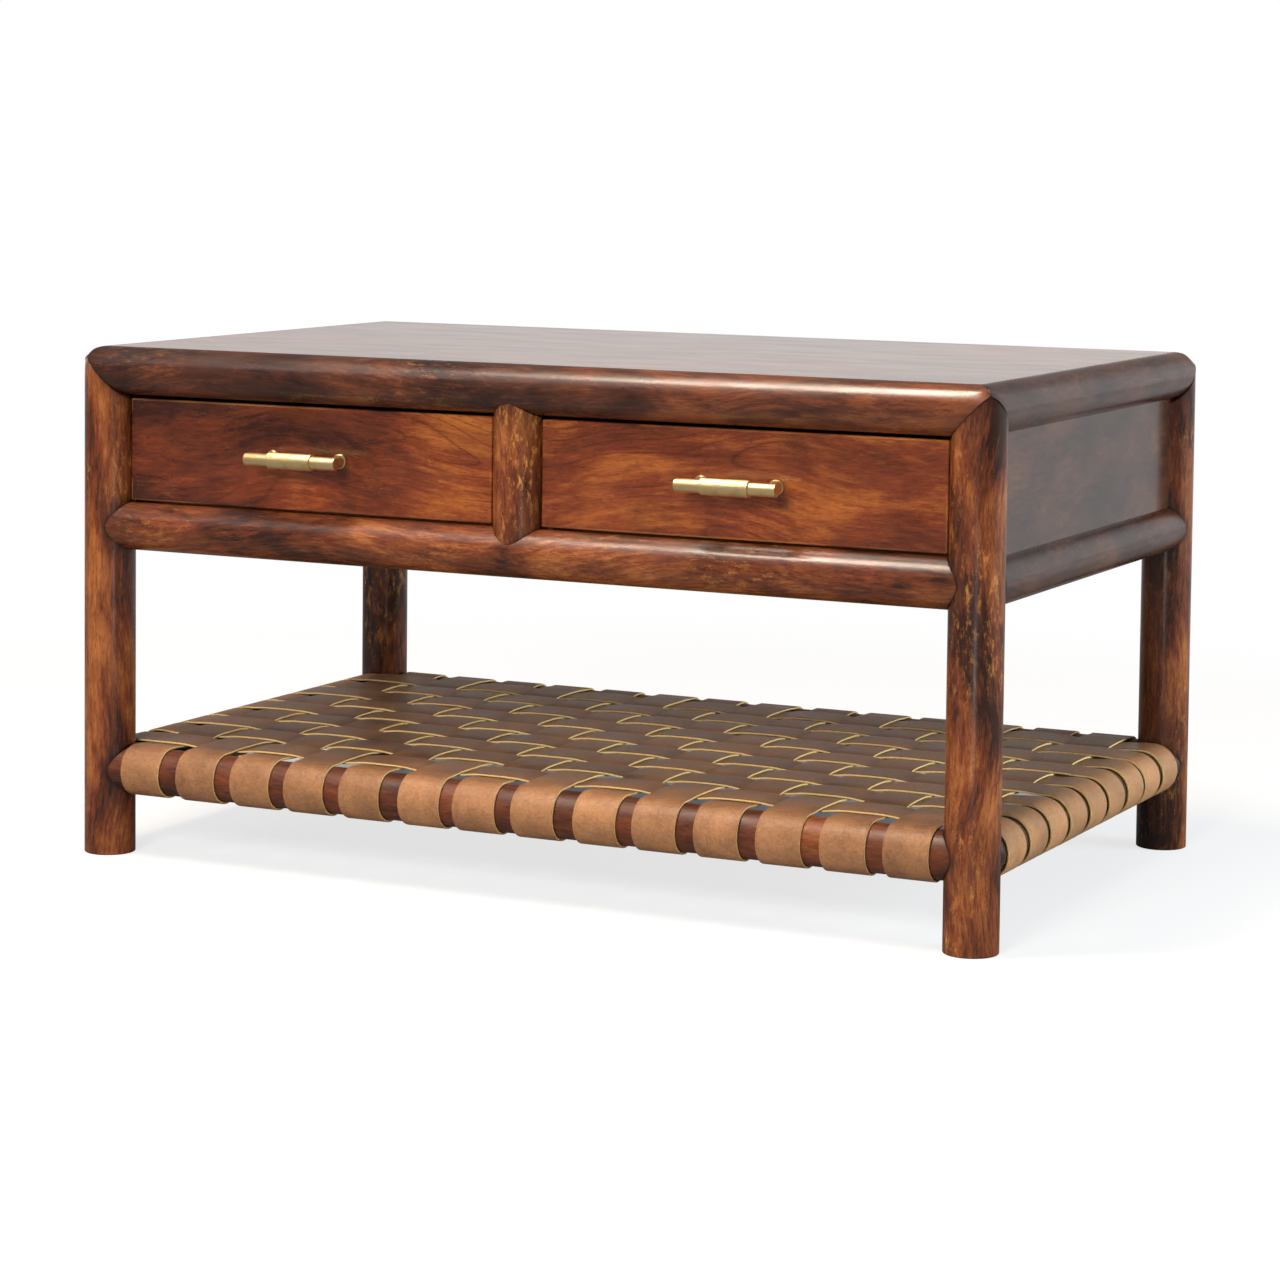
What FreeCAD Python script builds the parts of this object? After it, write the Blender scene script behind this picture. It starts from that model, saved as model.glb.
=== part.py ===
import FreeCAD, Part
import math
import os

# Coffee table of round members with two drawers and a shelf of woven leather straps.
# Millimetres, +X to the right, +Y to the back, +Z up. The origin is on the floor,
# at the middle of the whole outline with the handles.

# Table
TABLE_WIDTH = 900.0
TABLE_DEPTH = 550.0
TABLE_HEIGHT = 470.0

# Round members
POST_DIAMETER = 47.0
FOOT_CHAMFER = 2.0
TOP_RAIL_DIAMETER = 44.0
APRON_RAIL_DIAMETER = 44.0
APRON_RAIL_DROP = 165.0
SHELF_RAIL_DIAMETER = 42.0
SHELF_RAIL_HEIGHT = 79.0
DIVIDER_DIAMETER = 46.0
DIVIDER_SETBACK = 2.5
DIVIDER_FLAT = 13.0

# Boards
TOP_THICKNESS = 18.0
PANEL_THICKNESS = 12.0
PANEL_RECESS = 16.5
PANEL_TONGUE = 8.0
PARTITION_THICKNESS = 18.0
PARTITION_TONGUE = 5.0

# Dowels between rails and posts
DOWEL_DIAMETER = 8.0
DOWEL_BITE = 22.0
DOWEL_SPACING = 14.0
CORNER_DOWEL_INSET = 10.0
CORNER_DOWEL_DROP = 28.0
CORNER_DOWEL_START = 16.0

# Drawers
DRAWER_FACE_RECESS = 20.5
DRAWER_FRONT_THICKNESS = 20.0
DRAWER_FRONT_ROUND = 1.0
DRAWER_BACK_ROOM = 41.0
DRAWER_GAP_TOP = 3.0
DRAWER_GAP_BOTTOM = 2.0
DRAWER_GAP_SIDE = 1.5
DRAWER_SIDE_THICKNESS = 12.0
DRAWER_SIDE_DROP = 15.0
DRAWER_SIDE_INSET = 3.5
DRAWER_SIDE_LIFT = 7.0
DRAWER_BACK_THICKNESS = 12.0
DRAWER_BACK_DROP = 8.0
DRAWER_BOTTOM_THICKNESS = 5.0
DRAWER_BOTTOM_LIFT = 6.0
DRAWER_JOINT_DEPTH = 5.0

# Stops behind the drawer fronts
STOP_DEPTH = 14.0
STOP_FOOT = 18.0
STOP_HEADROOM = 3.0

# Runners in the drawer sides' grooves
RUNNER_HEIGHT = 16.0
RUNNER_END_GAP = 2.0
RUNNER_GROOVE_DEPTH = 6.0
RUNNER_SCREW_DIAMETER = 4.0
RUNNER_SCREW_HEAD = 7.6
RUNNER_SCREW_HEAD_HEIGHT = 2.4
RUNNER_SCREW_BITE = 7.0
RUNNER_SCREW_INSET = 60.0
RUNNER_SCREW_STAGGER = 20.0

# Handles
HANDLE_BAR_LENGTH = 94.0
HANDLE_BAR_DIAMETER = 11.5
HANDLE_BAR_CHAMFER = 0.8
HANDLE_GRIP_LENGTH = 44.5
HANDLE_GRIP_DIAMETER = 15.0
HANDLE_GRIP_CHAMFER = 0.8
HANDLE_CENTRES = 69.5
HANDLE_REACH = 27.5
HANDLE_BASE_DIAMETER = 13.5
HANDLE_BASE_HEIGHT = 2.5
HANDLE_NECK_DIAMETER = 9.0
HANDLE_TAPER_HEIGHT = 7.0
HANDLE_SPIGOT_DIAMETER = 6.0
HANDLE_SPIGOT_LENGTH = 3.0
HANDLE_SCREW_DIAMETER = 4.0
HANDLE_SCREW_BITE = 10.0
HANDLE_SCREW_HEAD = 8.0
HANDLE_SCREW_HEAD_HEIGHT = 2.6

# Leather straps
STRAP_THICKNESS = 2.3
STRAP_WRAP_ANGLE = 240.0
CROSS_STRAP_COUNT = 14
CROSS_STRAP_SPACE = 17.0
CROSS_STRAP_MARGIN = 5.5
LONG_STRAP_COUNT = 9
LONG_STRAP_SPACE = 10.0
LONG_STRAP_MARGIN = 3.5
TACK_ANGLE = 210.0
TACK_SHANK_DIAMETER = 1.6
TACK_LENGTH = 12.0
TACK_HEAD_DIAMETER = 6.4
TACK_HEAD_HEIGHT = 1.2
TACK_EDGE_INSET = 10.0

# Clearances
GLUE_GAP = 0.2
PANEL_PLAY = 0.3
RUNNER_PLAY = 0.4
SCREW_PLAY = 0.1
STOP_PLAY = 0.5
HOLE_END_PLAY = 0.5
STRAP_SEAT = 0.3
STRAP_PLAY = 0.3
STRAP_EASE = 0.7

# Places worked out from the sizes
handle_front = HANDLE_REACH + HANDLE_GRIP_DIAMETER / 2
handle_overhang = max(0.0, handle_front - DRAWER_FACE_RECESS)
back_y = (TABLE_DEPTH + handle_overhang) / 2
front_y = back_y - TABLE_DEPTH
mid_y = (front_y + back_y) / 2
half_width = TABLE_WIDTH / 2
post_radius = POST_DIAMETER / 2
top_rail_radius = TOP_RAIL_DIAMETER / 2
apron_radius = APRON_RAIL_DIAMETER / 2
shelf_radius = SHELF_RAIL_DIAMETER / 2
divider_radius = DIVIDER_DIAMETER / 2
post_x = half_width - post_radius
post_front_y = front_y + post_radius
post_back_y = back_y - post_radius
inner_x = half_width - POST_DIAMETER
inner_front_y = front_y + POST_DIAMETER
inner_back_y = back_y - POST_DIAMETER
top_rail_z = TABLE_HEIGHT - top_rail_radius
top_rail_bottom = TABLE_HEIGHT - TOP_RAIL_DIAMETER
top_panel_bottom = TABLE_HEIGHT - TOP_THICKNESS
apron_rail_z = TABLE_HEIGHT - APRON_RAIL_DROP
apron_top = apron_rail_z + apron_radius
divider_y = post_front_y + DIVIDER_SETBACK
divider_back_y = divider_y + DIVIDER_FLAT
panel_outer_x = half_width - PANEL_RECESS
panel_inner_x = panel_outer_x - PANEL_THICKNESS
back_panel_outer_y = back_y - PANEL_RECESS
back_panel_inner_y = back_panel_outer_y - PANEL_THICKNESS
drawer_face_y = front_y + DRAWER_FACE_RECESS
drawer_inside_y = drawer_face_y + DRAWER_FRONT_THICKNESS
drawer_back_y = back_panel_inner_y - DRAWER_BACK_ROOM
drawer_low_z = apron_top + DRAWER_GAP_BOTTOM
drawer_high_z = top_rail_bottom - DRAWER_GAP_TOP
drawer_inner_x = divider_radius + DRAWER_GAP_SIDE
drawer_outer_x = inner_x - DRAWER_GAP_SIDE
drawer_mid_x = (drawer_inner_x + drawer_outer_x) / 2
side_low_z = drawer_low_z + DRAWER_SIDE_LIFT
side_high_z = drawer_high_z - DRAWER_SIDE_DROP
bottom_low_z = side_low_z + DRAWER_BOTTOM_LIFT
bottom_high_z = bottom_low_z + DRAWER_BOTTOM_THICKNESS
runner_mid_z = (side_low_z + side_high_z) / 2
runner_low_z = runner_mid_z - RUNNER_HEIGHT / 2
runner_high_z = runner_mid_z + RUNNER_HEIGHT / 2
runner_front_y = inner_front_y + RUNNER_END_GAP
runner_back_y = inner_back_y - RUNNER_END_GAP
handle_z = (drawer_low_z + drawer_high_z) / 2
handle_y = drawer_face_y - HANDLE_REACH

X_AXIS = FreeCAD.Vector(1, 0, 0)
Y_AXIS = FreeCAD.Vector(0, 1, 0)
Z_AXIS = FreeCAD.Vector(0, 0, 1)
SIDES = {"left": -1, "right": 1}
ENDS = {"front": -1, "back": 1}

nodes = {}


def point(x, y, z):
    """A point of the table's frame."""
    return FreeCAD.Vector(x, y, z)


def block(low, high):
    """A box between two opposite corners, given in any order."""
    corner = point(*(min(a, b) for a, b in zip(low, high)))
    size = [abs(a - b) for a, b in zip(low, high)]
    return Part.makeBox(*size, corner)


def rod(start, end, diameter):
    """A round bar between two points."""
    run = end - start
    return Part.makeCylinder(diameter / 2, run.Length, start, run)


def cut_all(shape, tools):
    """A shape with those of a list of tools that reach it taken away from it."""
    near = [tool for tool in tools if tool.BoundBox.intersect(shape.BoundBox)]
    return shape.cut(Part.makeCompound(near)) if near else shape


def solid_of(shape):
    """The one solid of a cut shape."""
    return shape.Solids[0]


def mitre_wedge(corner, keep, lose, across, reach):
    """The triangular prism on the losing side of a mitre plane through a corner."""
    outline = [corner, corner + lose * reach, corner + (lose + keep) * reach, corner]
    moved = [p - across * reach for p in outline]
    face = Part.Face(Part.makePolygon(moved))
    return face.extrude(across * (2 * reach))


def corner_mitres(side, end, keep_axis):
    """The two wedges that a member along one axis loses where three members meet."""
    corner = point(side * half_width, mid_y + end * TABLE_DEPTH / 2, TABLE_HEIGHT)
    inward = {"x": X_AXIS * -side, "y": Y_AXIS * -end, "z": Z_AXIS * -1}
    others = [axis for axis in "xyz" if axis != keep_axis]
    reach = 2 * max(POST_DIAMETER, TOP_RAIL_DIAMETER)
    wedges = []
    for lose, across in (others, others[::-1]):
        wedges.append(mitre_wedge(corner, inward[keep_axis], inward[lose], inward[across], reach))
    return wedges


def end_post_y(end):
    """The Y of the post axes at the front or the back."""
    return post_front_y if end < 0 else post_back_y


# Dowels and the holes that they take
def dowel_runs():
    """The start and end of every dowel: one in each joint of a rail and a post."""
    runs = []
    corner_end = CORNER_DOWEL_DROP + DOWEL_BITE
    for side in SIDES.values():
        for end in ENDS.values():
            x = side * post_x
            y = end_post_y(end)
            for height in (apron_rail_z, SHELF_RAIL_HEIGHT):
                inward_x = side * (inner_x - DOWEL_BITE)
                high = height + DOWEL_SPACING / 2
                runs.append((point(x, y, high), point(inward_x, y, high)))
                inward_y = y - end * (post_radius + DOWEL_BITE)
                low = height - DOWEL_SPACING / 2
                runs.append((point(x, y, low), point(x, inward_y, low)))
            z = TABLE_HEIGHT - CORNER_DOWEL_DROP
            face_y = mid_y + end * TABLE_DEPTH / 2
            near_x = side * (half_width - CORNER_DOWEL_START)
            far_x = side * (half_width - corner_end)
            y = face_y - end * CORNER_DOWEL_INSET
            runs.append((point(near_x, y, z), point(far_x, y, z)))
            near_y = face_y - end * CORNER_DOWEL_START
            far_y = face_y - end * corner_end
            x = side * (half_width - CORNER_DOWEL_INSET)
            runs.append((point(x, near_y, z), point(x, far_y, z)))
    return runs


def dowel_hole(start, end):
    """The hole of one dowel, a little wider and longer than it."""
    over = (end - start).normalize() * HOLE_END_PLAY
    return rod(start - over, end + over, DOWEL_DIAMETER + 2 * GLUE_GAP)


dowels = [rod(start, end, DOWEL_DIAMETER) for start, end in dowel_runs()]
dowel_holes = [dowel_hole(start, end) for start, end in dowel_runs()]
nodes["frame_dowels"] = Part.makeCompound(dowels)


# Panels between posts and rails, each with the slot that its edges sit in
panel_low_z = apron_top - PANEL_TONGUE
panel_high_z = top_rail_bottom + PANEL_TONGUE


def side_panel_box(side, play):
    """A side panel with its tongues, or its slot where there is play."""
    low = (side * (panel_inner_x - play / 2), inner_front_y - PANEL_TONGUE - play, panel_low_z - play)
    high = (side * (panel_outer_x + play / 2), inner_back_y + PANEL_TONGUE + play, panel_high_z + play)
    return block(low, high)


def back_panel_box(play):
    """The back panel with its tongues, or its slot where there is play."""
    reach = inner_x + PANEL_TONGUE + play
    low = (-reach, back_panel_inner_y - play / 2, panel_low_z - play)
    high = (reach, back_panel_outer_y + play / 2, panel_high_z + play)
    return block(low, high)


panel_slots = [side_panel_box(side, PANEL_PLAY) for side in SIDES.values()]
panel_slots.append(back_panel_box(PANEL_PLAY))


# Posts
def make_post(side, end):
    """One post: chamfered foot, mitred top, dowel holes and panel slots."""
    x = side * post_x
    y = end_post_y(end)
    shaft = rod(point(x, y, 0), point(x, y, TABLE_HEIGHT), POST_DIAMETER)
    foot = [edge for edge in shaft.Edges if edge.BoundBox.ZMax < FOOT_CHAMFER]
    shaft = shaft.makeChamfer(FOOT_CHAMFER, foot)
    return solid_of(cut_all(shaft, corner_mitres(side, end, "z") + dowel_holes + panel_slots))


for end_name, end in ENDS.items():
    for side_name, side in SIDES.items():
        nodes[f"post_{end_name}_{side_name}"] = make_post(side, end)


# Table top and the top rails around it, flush with the posts' outer faces
top_edge_x = half_width - top_rail_radius
top_front_y = front_y + top_rail_radius
top_back_y = back_y - top_rail_radius
top_panel_low = (-top_edge_x, top_front_y, top_panel_bottom)
top_panel_high = (top_edge_x, top_back_y, TABLE_HEIGHT)
nodes["top_panel"] = block(top_panel_low, top_panel_high)


def top_rail_bar(axis, sign, diameter):
    """A plain top rail as long as the table, before its mitres."""
    if axis == "x":
        y = top_front_y if sign < 0 else top_back_y
        return rod(point(-half_width, y, top_rail_z), point(half_width, y, top_rail_z), diameter)
    x = sign * top_edge_x
    return rod(point(x, front_y, top_rail_z), point(x, back_y, top_rail_z), diameter)


def make_top_rail(axis, sign):
    """One top rail: mitred ends, the rebate for the top, dowel holes and panel slots."""
    ends = [(side, sign) for side in SIDES.values()]
    if axis == "y":
        ends = [(sign, end) for end in ENDS.values()]
    mitres = [wedge for side, end in ends for wedge in corner_mitres(side, end, axis)]
    bar = top_rail_bar(axis, sign, TOP_RAIL_DIAMETER)
    return solid_of(cut_all(bar, mitres + [nodes["top_panel"]] + dowel_holes + panel_slots))


for name, end in ENDS.items():
    nodes[f"top_rail_{name}"] = make_top_rail("x", end)
for name, side in SIDES.items():
    nodes[f"top_rail_{name}"] = make_top_rail("y", side)


# Apron and shelf rails, coped over the posts
def post_seats():
    """The rounds that rail ends are coped to, one at each post."""
    wide = POST_DIAMETER + 2 * GLUE_GAP
    places = [(side * post_x, end_post_y(end)) for side in SIDES.values() for end in ENDS.values()]
    return [rod(point(x, y, 0), point(x, y, TABLE_HEIGHT), wide) for x, y in places]


def post_mitre(side, end, axis, height):
    """The wedge that a rail loses to the rail it meets at a post, in plan."""
    corner = point(side * post_x, end_post_y(end), height)
    inward = {"x": X_AXIS * -side, "y": Y_AXIS * -end}
    other = "y" if axis == "x" else "x"
    return mitre_wedge(corner, inward[axis], inward[other], Z_AXIS, POST_DIAMETER)


def low_rail(axis, sign, height, diameter, holes):
    """One rail between two posts at a given height, with its holes and slots."""
    if axis == "x":
        y = end_post_y(sign)
        bar = rod(point(-post_x, y, height), point(post_x, y, height), diameter)
        mitres = [post_mitre(side, sign, axis, height) for side in SIDES.values()]
    else:
        x = sign * post_x
        bar = rod(point(x, post_front_y, height), point(x, post_back_y, height), diameter)
        mitres = [post_mitre(sign, end, axis, height) for end in ENDS.values()]
    pieces = cut_all(bar, post_seats() + mitres + dowel_holes + panel_slots + holes).Solids
    return max(pieces, key=lambda piece: piece.Volume)


for name, end in ENDS.items():
    nodes[f"apron_rail_{name}"] = low_rail("x", end, apron_rail_z, APRON_RAIL_DIAMETER, [])
for name, side in SIDES.items():
    nodes[f"apron_rail_{name}"] = low_rail("y", side, apron_rail_z, APRON_RAIL_DIAMETER, [])


# Partition between the drawers, and the divider in front of it
partition_front_y = divider_back_y - PARTITION_TONGUE
partition_back_y = back_panel_inner_y + PARTITION_TONGUE


def partition_box(play):
    """The partition board, or its slot where there is play."""
    half = PARTITION_THICKNESS / 2 + play / 2
    low = (-half, partition_front_y - play, apron_top + PANEL_PLAY - play)
    high = (half, partition_back_y + play, top_panel_bottom)
    return block(low, high)


def top_rail_clearances():
    """The front and back top rails, grown by the panel play."""
    return [top_rail_bar("x", end, TOP_RAIL_DIAMETER + 2 * PANEL_PLAY) for end in ENDS.values()]


partition_slot = partition_box(PANEL_PLAY)


def make_divider():
    """The round divider: flat back, both ends coped over the rails, slot for the partition."""
    bar = rod(point(0, divider_y, apron_rail_z), point(0, divider_y, top_rail_z), DIVIDER_DIAMETER)
    low = (-divider_radius, divider_back_y, 0)
    flat = block(low, (divider_radius, divider_back_y + divider_radius, TABLE_HEIGHT))
    top_seat = top_rail_bar("x", ENDS["front"], TOP_RAIL_DIAMETER + 2 * GLUE_GAP)
    left_end = point(-post_x, post_front_y, apron_rail_z)
    right_end = point(post_x, post_front_y, apron_rail_z)
    low_seat = rod(left_end, right_end, APRON_RAIL_DIAMETER + 2 * GLUE_GAP)
    pieces = cut_all(bar, [flat, top_seat, low_seat, partition_slot]).Solids
    return max(pieces, key=lambda piece: piece.Volume)


nodes["front_divider"] = make_divider()


# Stops behind the drawer fronts, glued to the front apron rail
stop_inner_x = PARTITION_THICKNESS / 2 + GLUE_GAP


def make_stop(side):
    """One stop: a strip from the partition outwards, hollowed to the rail's round, that a drawer closes against."""
    near_y = drawer_inside_y + STOP_PLAY
    low = (side * stop_inner_x, near_y, apron_top - STOP_FOOT)
    strip = block(low, (side * drawer_outer_x, near_y + STOP_DEPTH, side_low_z - STOP_HEADROOM))
    left_end = point(-post_x, post_front_y, apron_rail_z)
    right_end = point(post_x, post_front_y, apron_rail_z)
    return solid_of(strip.cut(rod(left_end, right_end, APRON_RAIL_DIAMETER + 2 * GLUE_GAP)))


nodes["drawer_stops"] = Part.makeCompound([make_stop(side) for side in SIDES.values()])


# Runners, their screws, and the boards that carry them
def runner_reach(wall):
    """The X of a runner's wall face and of its tip in the groove, on the right of the table."""
    if wall == "outer":
        tip = drawer_outer_x - DRAWER_SIDE_INSET - RUNNER_GROOVE_DEPTH + RUNNER_PLAY
        return panel_inner_x, tip
    tip = drawer_inner_x + DRAWER_SIDE_INSET + RUNNER_GROOVE_DEPTH - RUNNER_PLAY
    return PARTITION_THICKNESS / 2, tip


def runner_screw_ys(side):
    """The places of a runner's screws, staggered so that two sides of a board miss each other."""
    shift = side * RUNNER_SCREW_STAGGER / 2
    return [runner_front_y + RUNNER_SCREW_INSET + shift, runner_back_y - RUNNER_SCREW_INSET + shift]


def runner_screw(tip, wall, y, z, play):
    """A countersunk screw from a runner's tip into its wall, or its hole where there is play."""
    way = X_AXIS * math.copysign(1, wall - tip)
    head_start = point(tip, y, z)
    bite = RUNNER_SCREW_BITE + play
    shank = rod(head_start, point(wall, y, z) + way * bite, RUNNER_SCREW_DIAMETER + 2 * play)
    head_radius = RUNNER_SCREW_HEAD / 2 + play
    shank_radius = RUNNER_SCREW_DIAMETER / 2 + play
    head = Part.makeCone(head_radius, shank_radius, RUNNER_SCREW_HEAD_HEIGHT, head_start, way)
    return shank.fuse(head).removeSplitter()


runner_screws = []
runner_holes = []
runner_bars = {}
for side_name, side in SIDES.items():
    for wall_name in ("outer", "inner"):
        wall, tip = (side * x for x in runner_reach(wall_name))
        bar = block((wall, runner_front_y, runner_low_z), (tip, runner_back_y, runner_high_z))
        runner_bars[f"runner_{side_name}_{wall_name}"] = bar
        for y in runner_screw_ys(side):
            runner_screws.append(runner_screw(tip, wall, y, runner_mid_z, 0))
            runner_holes.append(runner_screw(tip, wall, y, runner_mid_z, SCREW_PLAY))
for name, bar in runner_bars.items():
    nodes[name] = solid_of(cut_all(bar, runner_holes))
nodes["runner_screws"] = Part.makeCompound(runner_screws)

nodes["side_panel_left"] = solid_of(cut_all(side_panel_box(SIDES["left"], 0), runner_holes))
nodes["side_panel_right"] = solid_of(cut_all(side_panel_box(SIDES["right"], 0), runner_holes))
nodes["back_panel"] = solid_of(cut_all(back_panel_box(0), [partition_slot]))
partition_cuts = top_rail_clearances() + runner_holes
nodes["centre_partition"] = solid_of(cut_all(partition_box(0), partition_cuts))


# Handles
def turned(profile, place):
    """A turned piece about the Y axis from (radius, distance towards the front) points."""
    points = [point(radius, -along, 0) for radius, along in profile]
    face = Part.Face(Part.makePolygon(points + points[:1]))
    piece = face.revolve(point(0, 0, 0), Y_AXIS, 360)
    piece.translate(place)
    return piece


def handle_bar_rod(mid_x, diameter, length):
    """A round bar along the handle's axis."""
    start = point(mid_x - length / 2, handle_y, handle_z)
    return rod(start, start + X_AXIS * length, diameter)


def handle_places(mid_x):
    """The places of the two standoffs on the drawer's face."""
    half = HANDLE_CENTRES / 2
    return [point(mid_x + side * half, drawer_face_y, handle_z) for side in SIDES.values()]


def handle_screw(place, play):
    """A pan-head screw from inside the drawer into a standoff, or its hole where there is play."""
    inside = place + Y_AXIS * DRAWER_FRONT_THICKNESS
    tip = place - Y_AXIS * (HANDLE_SCREW_BITE + play)
    shank = rod(inside, tip, HANDLE_SCREW_DIAMETER + 2 * play)
    head = rod(inside, inside + Y_AXIS * HANDLE_SCREW_HEAD_HEIGHT, HANDLE_SCREW_HEAD)
    return shank.fuse(head).removeSplitter()


def make_standoff(mid_x, place):
    """A standoff: round base, taper, neck coped to the bar and a spigot into the bar."""
    base = HANDLE_BASE_DIAMETER / 2
    neck = HANDLE_NECK_DIAMETER / 2
    spigot = HANDLE_SPIGOT_DIAMETER / 2
    taper_end = HANDLE_BASE_HEIGHT + HANDLE_TAPER_HEIGHT
    bar_back = HANDLE_REACH - HANDLE_BAR_DIAMETER / 2
    outline = [(0, 0), (base, 0), (base, HANDLE_BASE_HEIGHT), (neck, taper_end)]
    body = turned(outline + [(neck, HANDLE_REACH), (0, HANDLE_REACH)], place)
    body = body.cut(handle_bar_rod(mid_x, HANDLE_BAR_DIAMETER + 2 * GLUE_GAP, HANDLE_BAR_LENGTH))
    body = max(body.Solids, key=lambda piece: piece.Volume)
    pin_end = bar_back + HANDLE_SPIGOT_LENGTH
    pin = rod(place - Y_AXIS * taper_end, place - Y_AXIS * pin_end, 2 * spigot)
    return solid_of(body.fuse(pin).removeSplitter().cut(handle_screw(place, SCREW_PLAY)))


def make_handle(side_name, side):
    """The bar, grip, standoffs and screws of one drawer's handle."""
    mid_x = side * drawer_mid_x
    places = handle_places(mid_x)
    bar = handle_bar_rod(mid_x, HANDLE_BAR_DIAMETER, HANDLE_BAR_LENGTH)
    rims = [edge for edge in bar.Edges if edge.BoundBox.XLength < HANDLE_BAR_CHAMFER]
    bar = bar.makeChamfer(HANDLE_BAR_CHAMFER, rims)
    spigot_end = HANDLE_REACH - HANDLE_BAR_DIAMETER / 2 + HANDLE_SPIGOT_LENGTH + HOLE_END_PLAY
    sockets = []
    for place in places:
        end = place - Y_AXIS * spigot_end
        sockets.append(rod(place, end, HANDLE_SPIGOT_DIAMETER + 2 * SCREW_PLAY))
    grip = handle_bar_rod(mid_x, HANDLE_GRIP_DIAMETER, HANDLE_GRIP_LENGTH)
    grip_rims = [edge for edge in grip.Edges if edge.BoundBox.XLength < HANDLE_GRIP_CHAMFER]
    grip = grip.makeChamfer(HANDLE_GRIP_CHAMFER, grip_rims)
    sleeve_bore = handle_bar_rod(mid_x, HANDLE_BAR_DIAMETER + 2 * SCREW_PLAY, HANDLE_BAR_LENGTH)
    nodes[f"{side_name}_handle_bar"] = solid_of(cut_all(bar, sockets))
    nodes[f"{side_name}_handle_grip"] = solid_of(grip.cut(sleeve_bore))
    standoffs = [make_standoff(mid_x, place) for place in places]
    nodes[f"{side_name}_handle_standoffs"] = Part.makeCompound(standoffs)
    screws = [handle_screw(place, 0) for place in places]
    nodes[f"{side_name}_handle_screws"] = Part.makeCompound(screws)


# Drawers
def drawer_side_box(mid_x, hand, play):
    """A drawer side with its tongue in the front, or its slot where there is play."""
    outer = drawer_outer_x - drawer_mid_x - DRAWER_SIDE_INSET
    start = drawer_inside_y - DRAWER_JOINT_DEPTH - play
    low = (mid_x + hand * (outer - DRAWER_SIDE_THICKNESS - play), start, side_low_z - play)
    high = (mid_x + hand * (outer + play), drawer_back_y, side_high_z + play)
    return block(low, high)


def drawer_bottom_box(mid_x, play):
    """The drawer's bottom, set in grooves of the front and the sides, or its slot."""
    outer = drawer_outer_x - drawer_mid_x - DRAWER_SIDE_INSET
    half = outer - DRAWER_SIDE_THICKNESS + DRAWER_JOINT_DEPTH + play
    start = drawer_inside_y - DRAWER_JOINT_DEPTH - play
    low = (mid_x - half, start, bottom_low_z - play / 2)
    return block(low, (mid_x + half, drawer_back_y, bottom_high_z + play / 2))


def drawer_back_box(mid_x, play):
    """The drawer's back, above its bottom and set into its sides, or its slot."""
    outer = drawer_outer_x - drawer_mid_x - DRAWER_SIDE_INSET
    half = outer - DRAWER_SIDE_THICKNESS + DRAWER_JOINT_DEPTH + play
    low = (mid_x - half, drawer_back_y - DRAWER_BACK_THICKNESS - play, bottom_high_z + PANEL_PLAY / 2)
    return block(low, (mid_x + half, drawer_back_y, side_high_z - DRAWER_BACK_DROP + play))


def runner_groove(side):
    """The grooves of one drawer's two sides, stopped a little ahead of the runners."""
    start = runner_front_y - RUNNER_PLAY
    outer_wall = side * drawer_outer_x
    outer_tip = side * (drawer_outer_x - DRAWER_SIDE_INSET - RUNNER_GROOVE_DEPTH)
    inner_wall = side * drawer_inner_x
    inner_tip = side * (drawer_inner_x + DRAWER_SIDE_INSET + RUNNER_GROOVE_DEPTH)
    low_z = runner_low_z - RUNNER_PLAY
    high_z = runner_high_z + RUNNER_PLAY
    outer = block((outer_wall, start, low_z), (outer_tip, drawer_back_y, high_z))
    inner = block((inner_wall, start, low_z), (inner_tip, drawer_back_y, high_z))
    return [outer, inner]


def make_drawer(side_name, side):
    """The front, sides, back and bottom of one drawer."""
    mid_x = side * drawer_mid_x
    low = (side * drawer_inner_x, drawer_face_y, drawer_low_z)
    front = block(low, (side * drawer_outer_x, drawer_inside_y, drawer_high_z))
    face_edges = [edge for edge in front.Edges if edge.BoundBox.YMax < drawer_face_y + DRAWER_FRONT_ROUND]
    front = front.makeFillet(DRAWER_FRONT_ROUND, face_edges)
    slots = [drawer_side_box(mid_x, hand, GLUE_GAP) for hand in SIDES.values()]
    slots.append(drawer_bottom_box(mid_x, PANEL_PLAY))
    screw_holes = [handle_screw(place, SCREW_PLAY) for place in handle_places(mid_x)]
    nodes[f"{side_name}_drawer_front"] = solid_of(cut_all(front, slots + screw_holes))
    side_cuts = runner_groove(side)
    side_cuts.append(drawer_bottom_box(mid_x, PANEL_PLAY))
    side_cuts.append(drawer_back_box(mid_x, GLUE_GAP))
    for hand_name, hand in SIDES.items():
        board = drawer_side_box(mid_x, hand, 0)
        nodes[f"{side_name}_drawer_side_{hand_name}"] = solid_of(cut_all(board, side_cuts))
    nodes[f"{side_name}_drawer_back"] = drawer_back_box(mid_x, 0)
    nodes[f"{side_name}_drawer_bottom"] = drawer_bottom_box(mid_x, 0)


for side_name, side in SIDES.items():
    make_drawer(side_name, side)
    make_handle(side_name, side)


# Straps: a ribbon's middle line is a chain of straight runs and arcs in its own upright plane
strap_wrap_radius = shelf_radius + STRAP_SEAT + STRAP_THICKNESS / 2
weave_z = SHELF_RAIL_HEIGHT + strap_wrap_radius
weave_rise = (STRAP_THICKNESS + STRAP_PLAY) / 2


class StrapRow:
    """Equal straps side by side that fill a span, with a margin at its ends and a space between them."""

    def __init__(self, half_span, margin, space, count):
        room = 2 * (half_span - margin)
        self.width = (room - (count - 1) * space) / count
        first = margin - half_span + self.width / 2
        self.centres = [first + index * (self.width + space) for index in range(count)]


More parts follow.
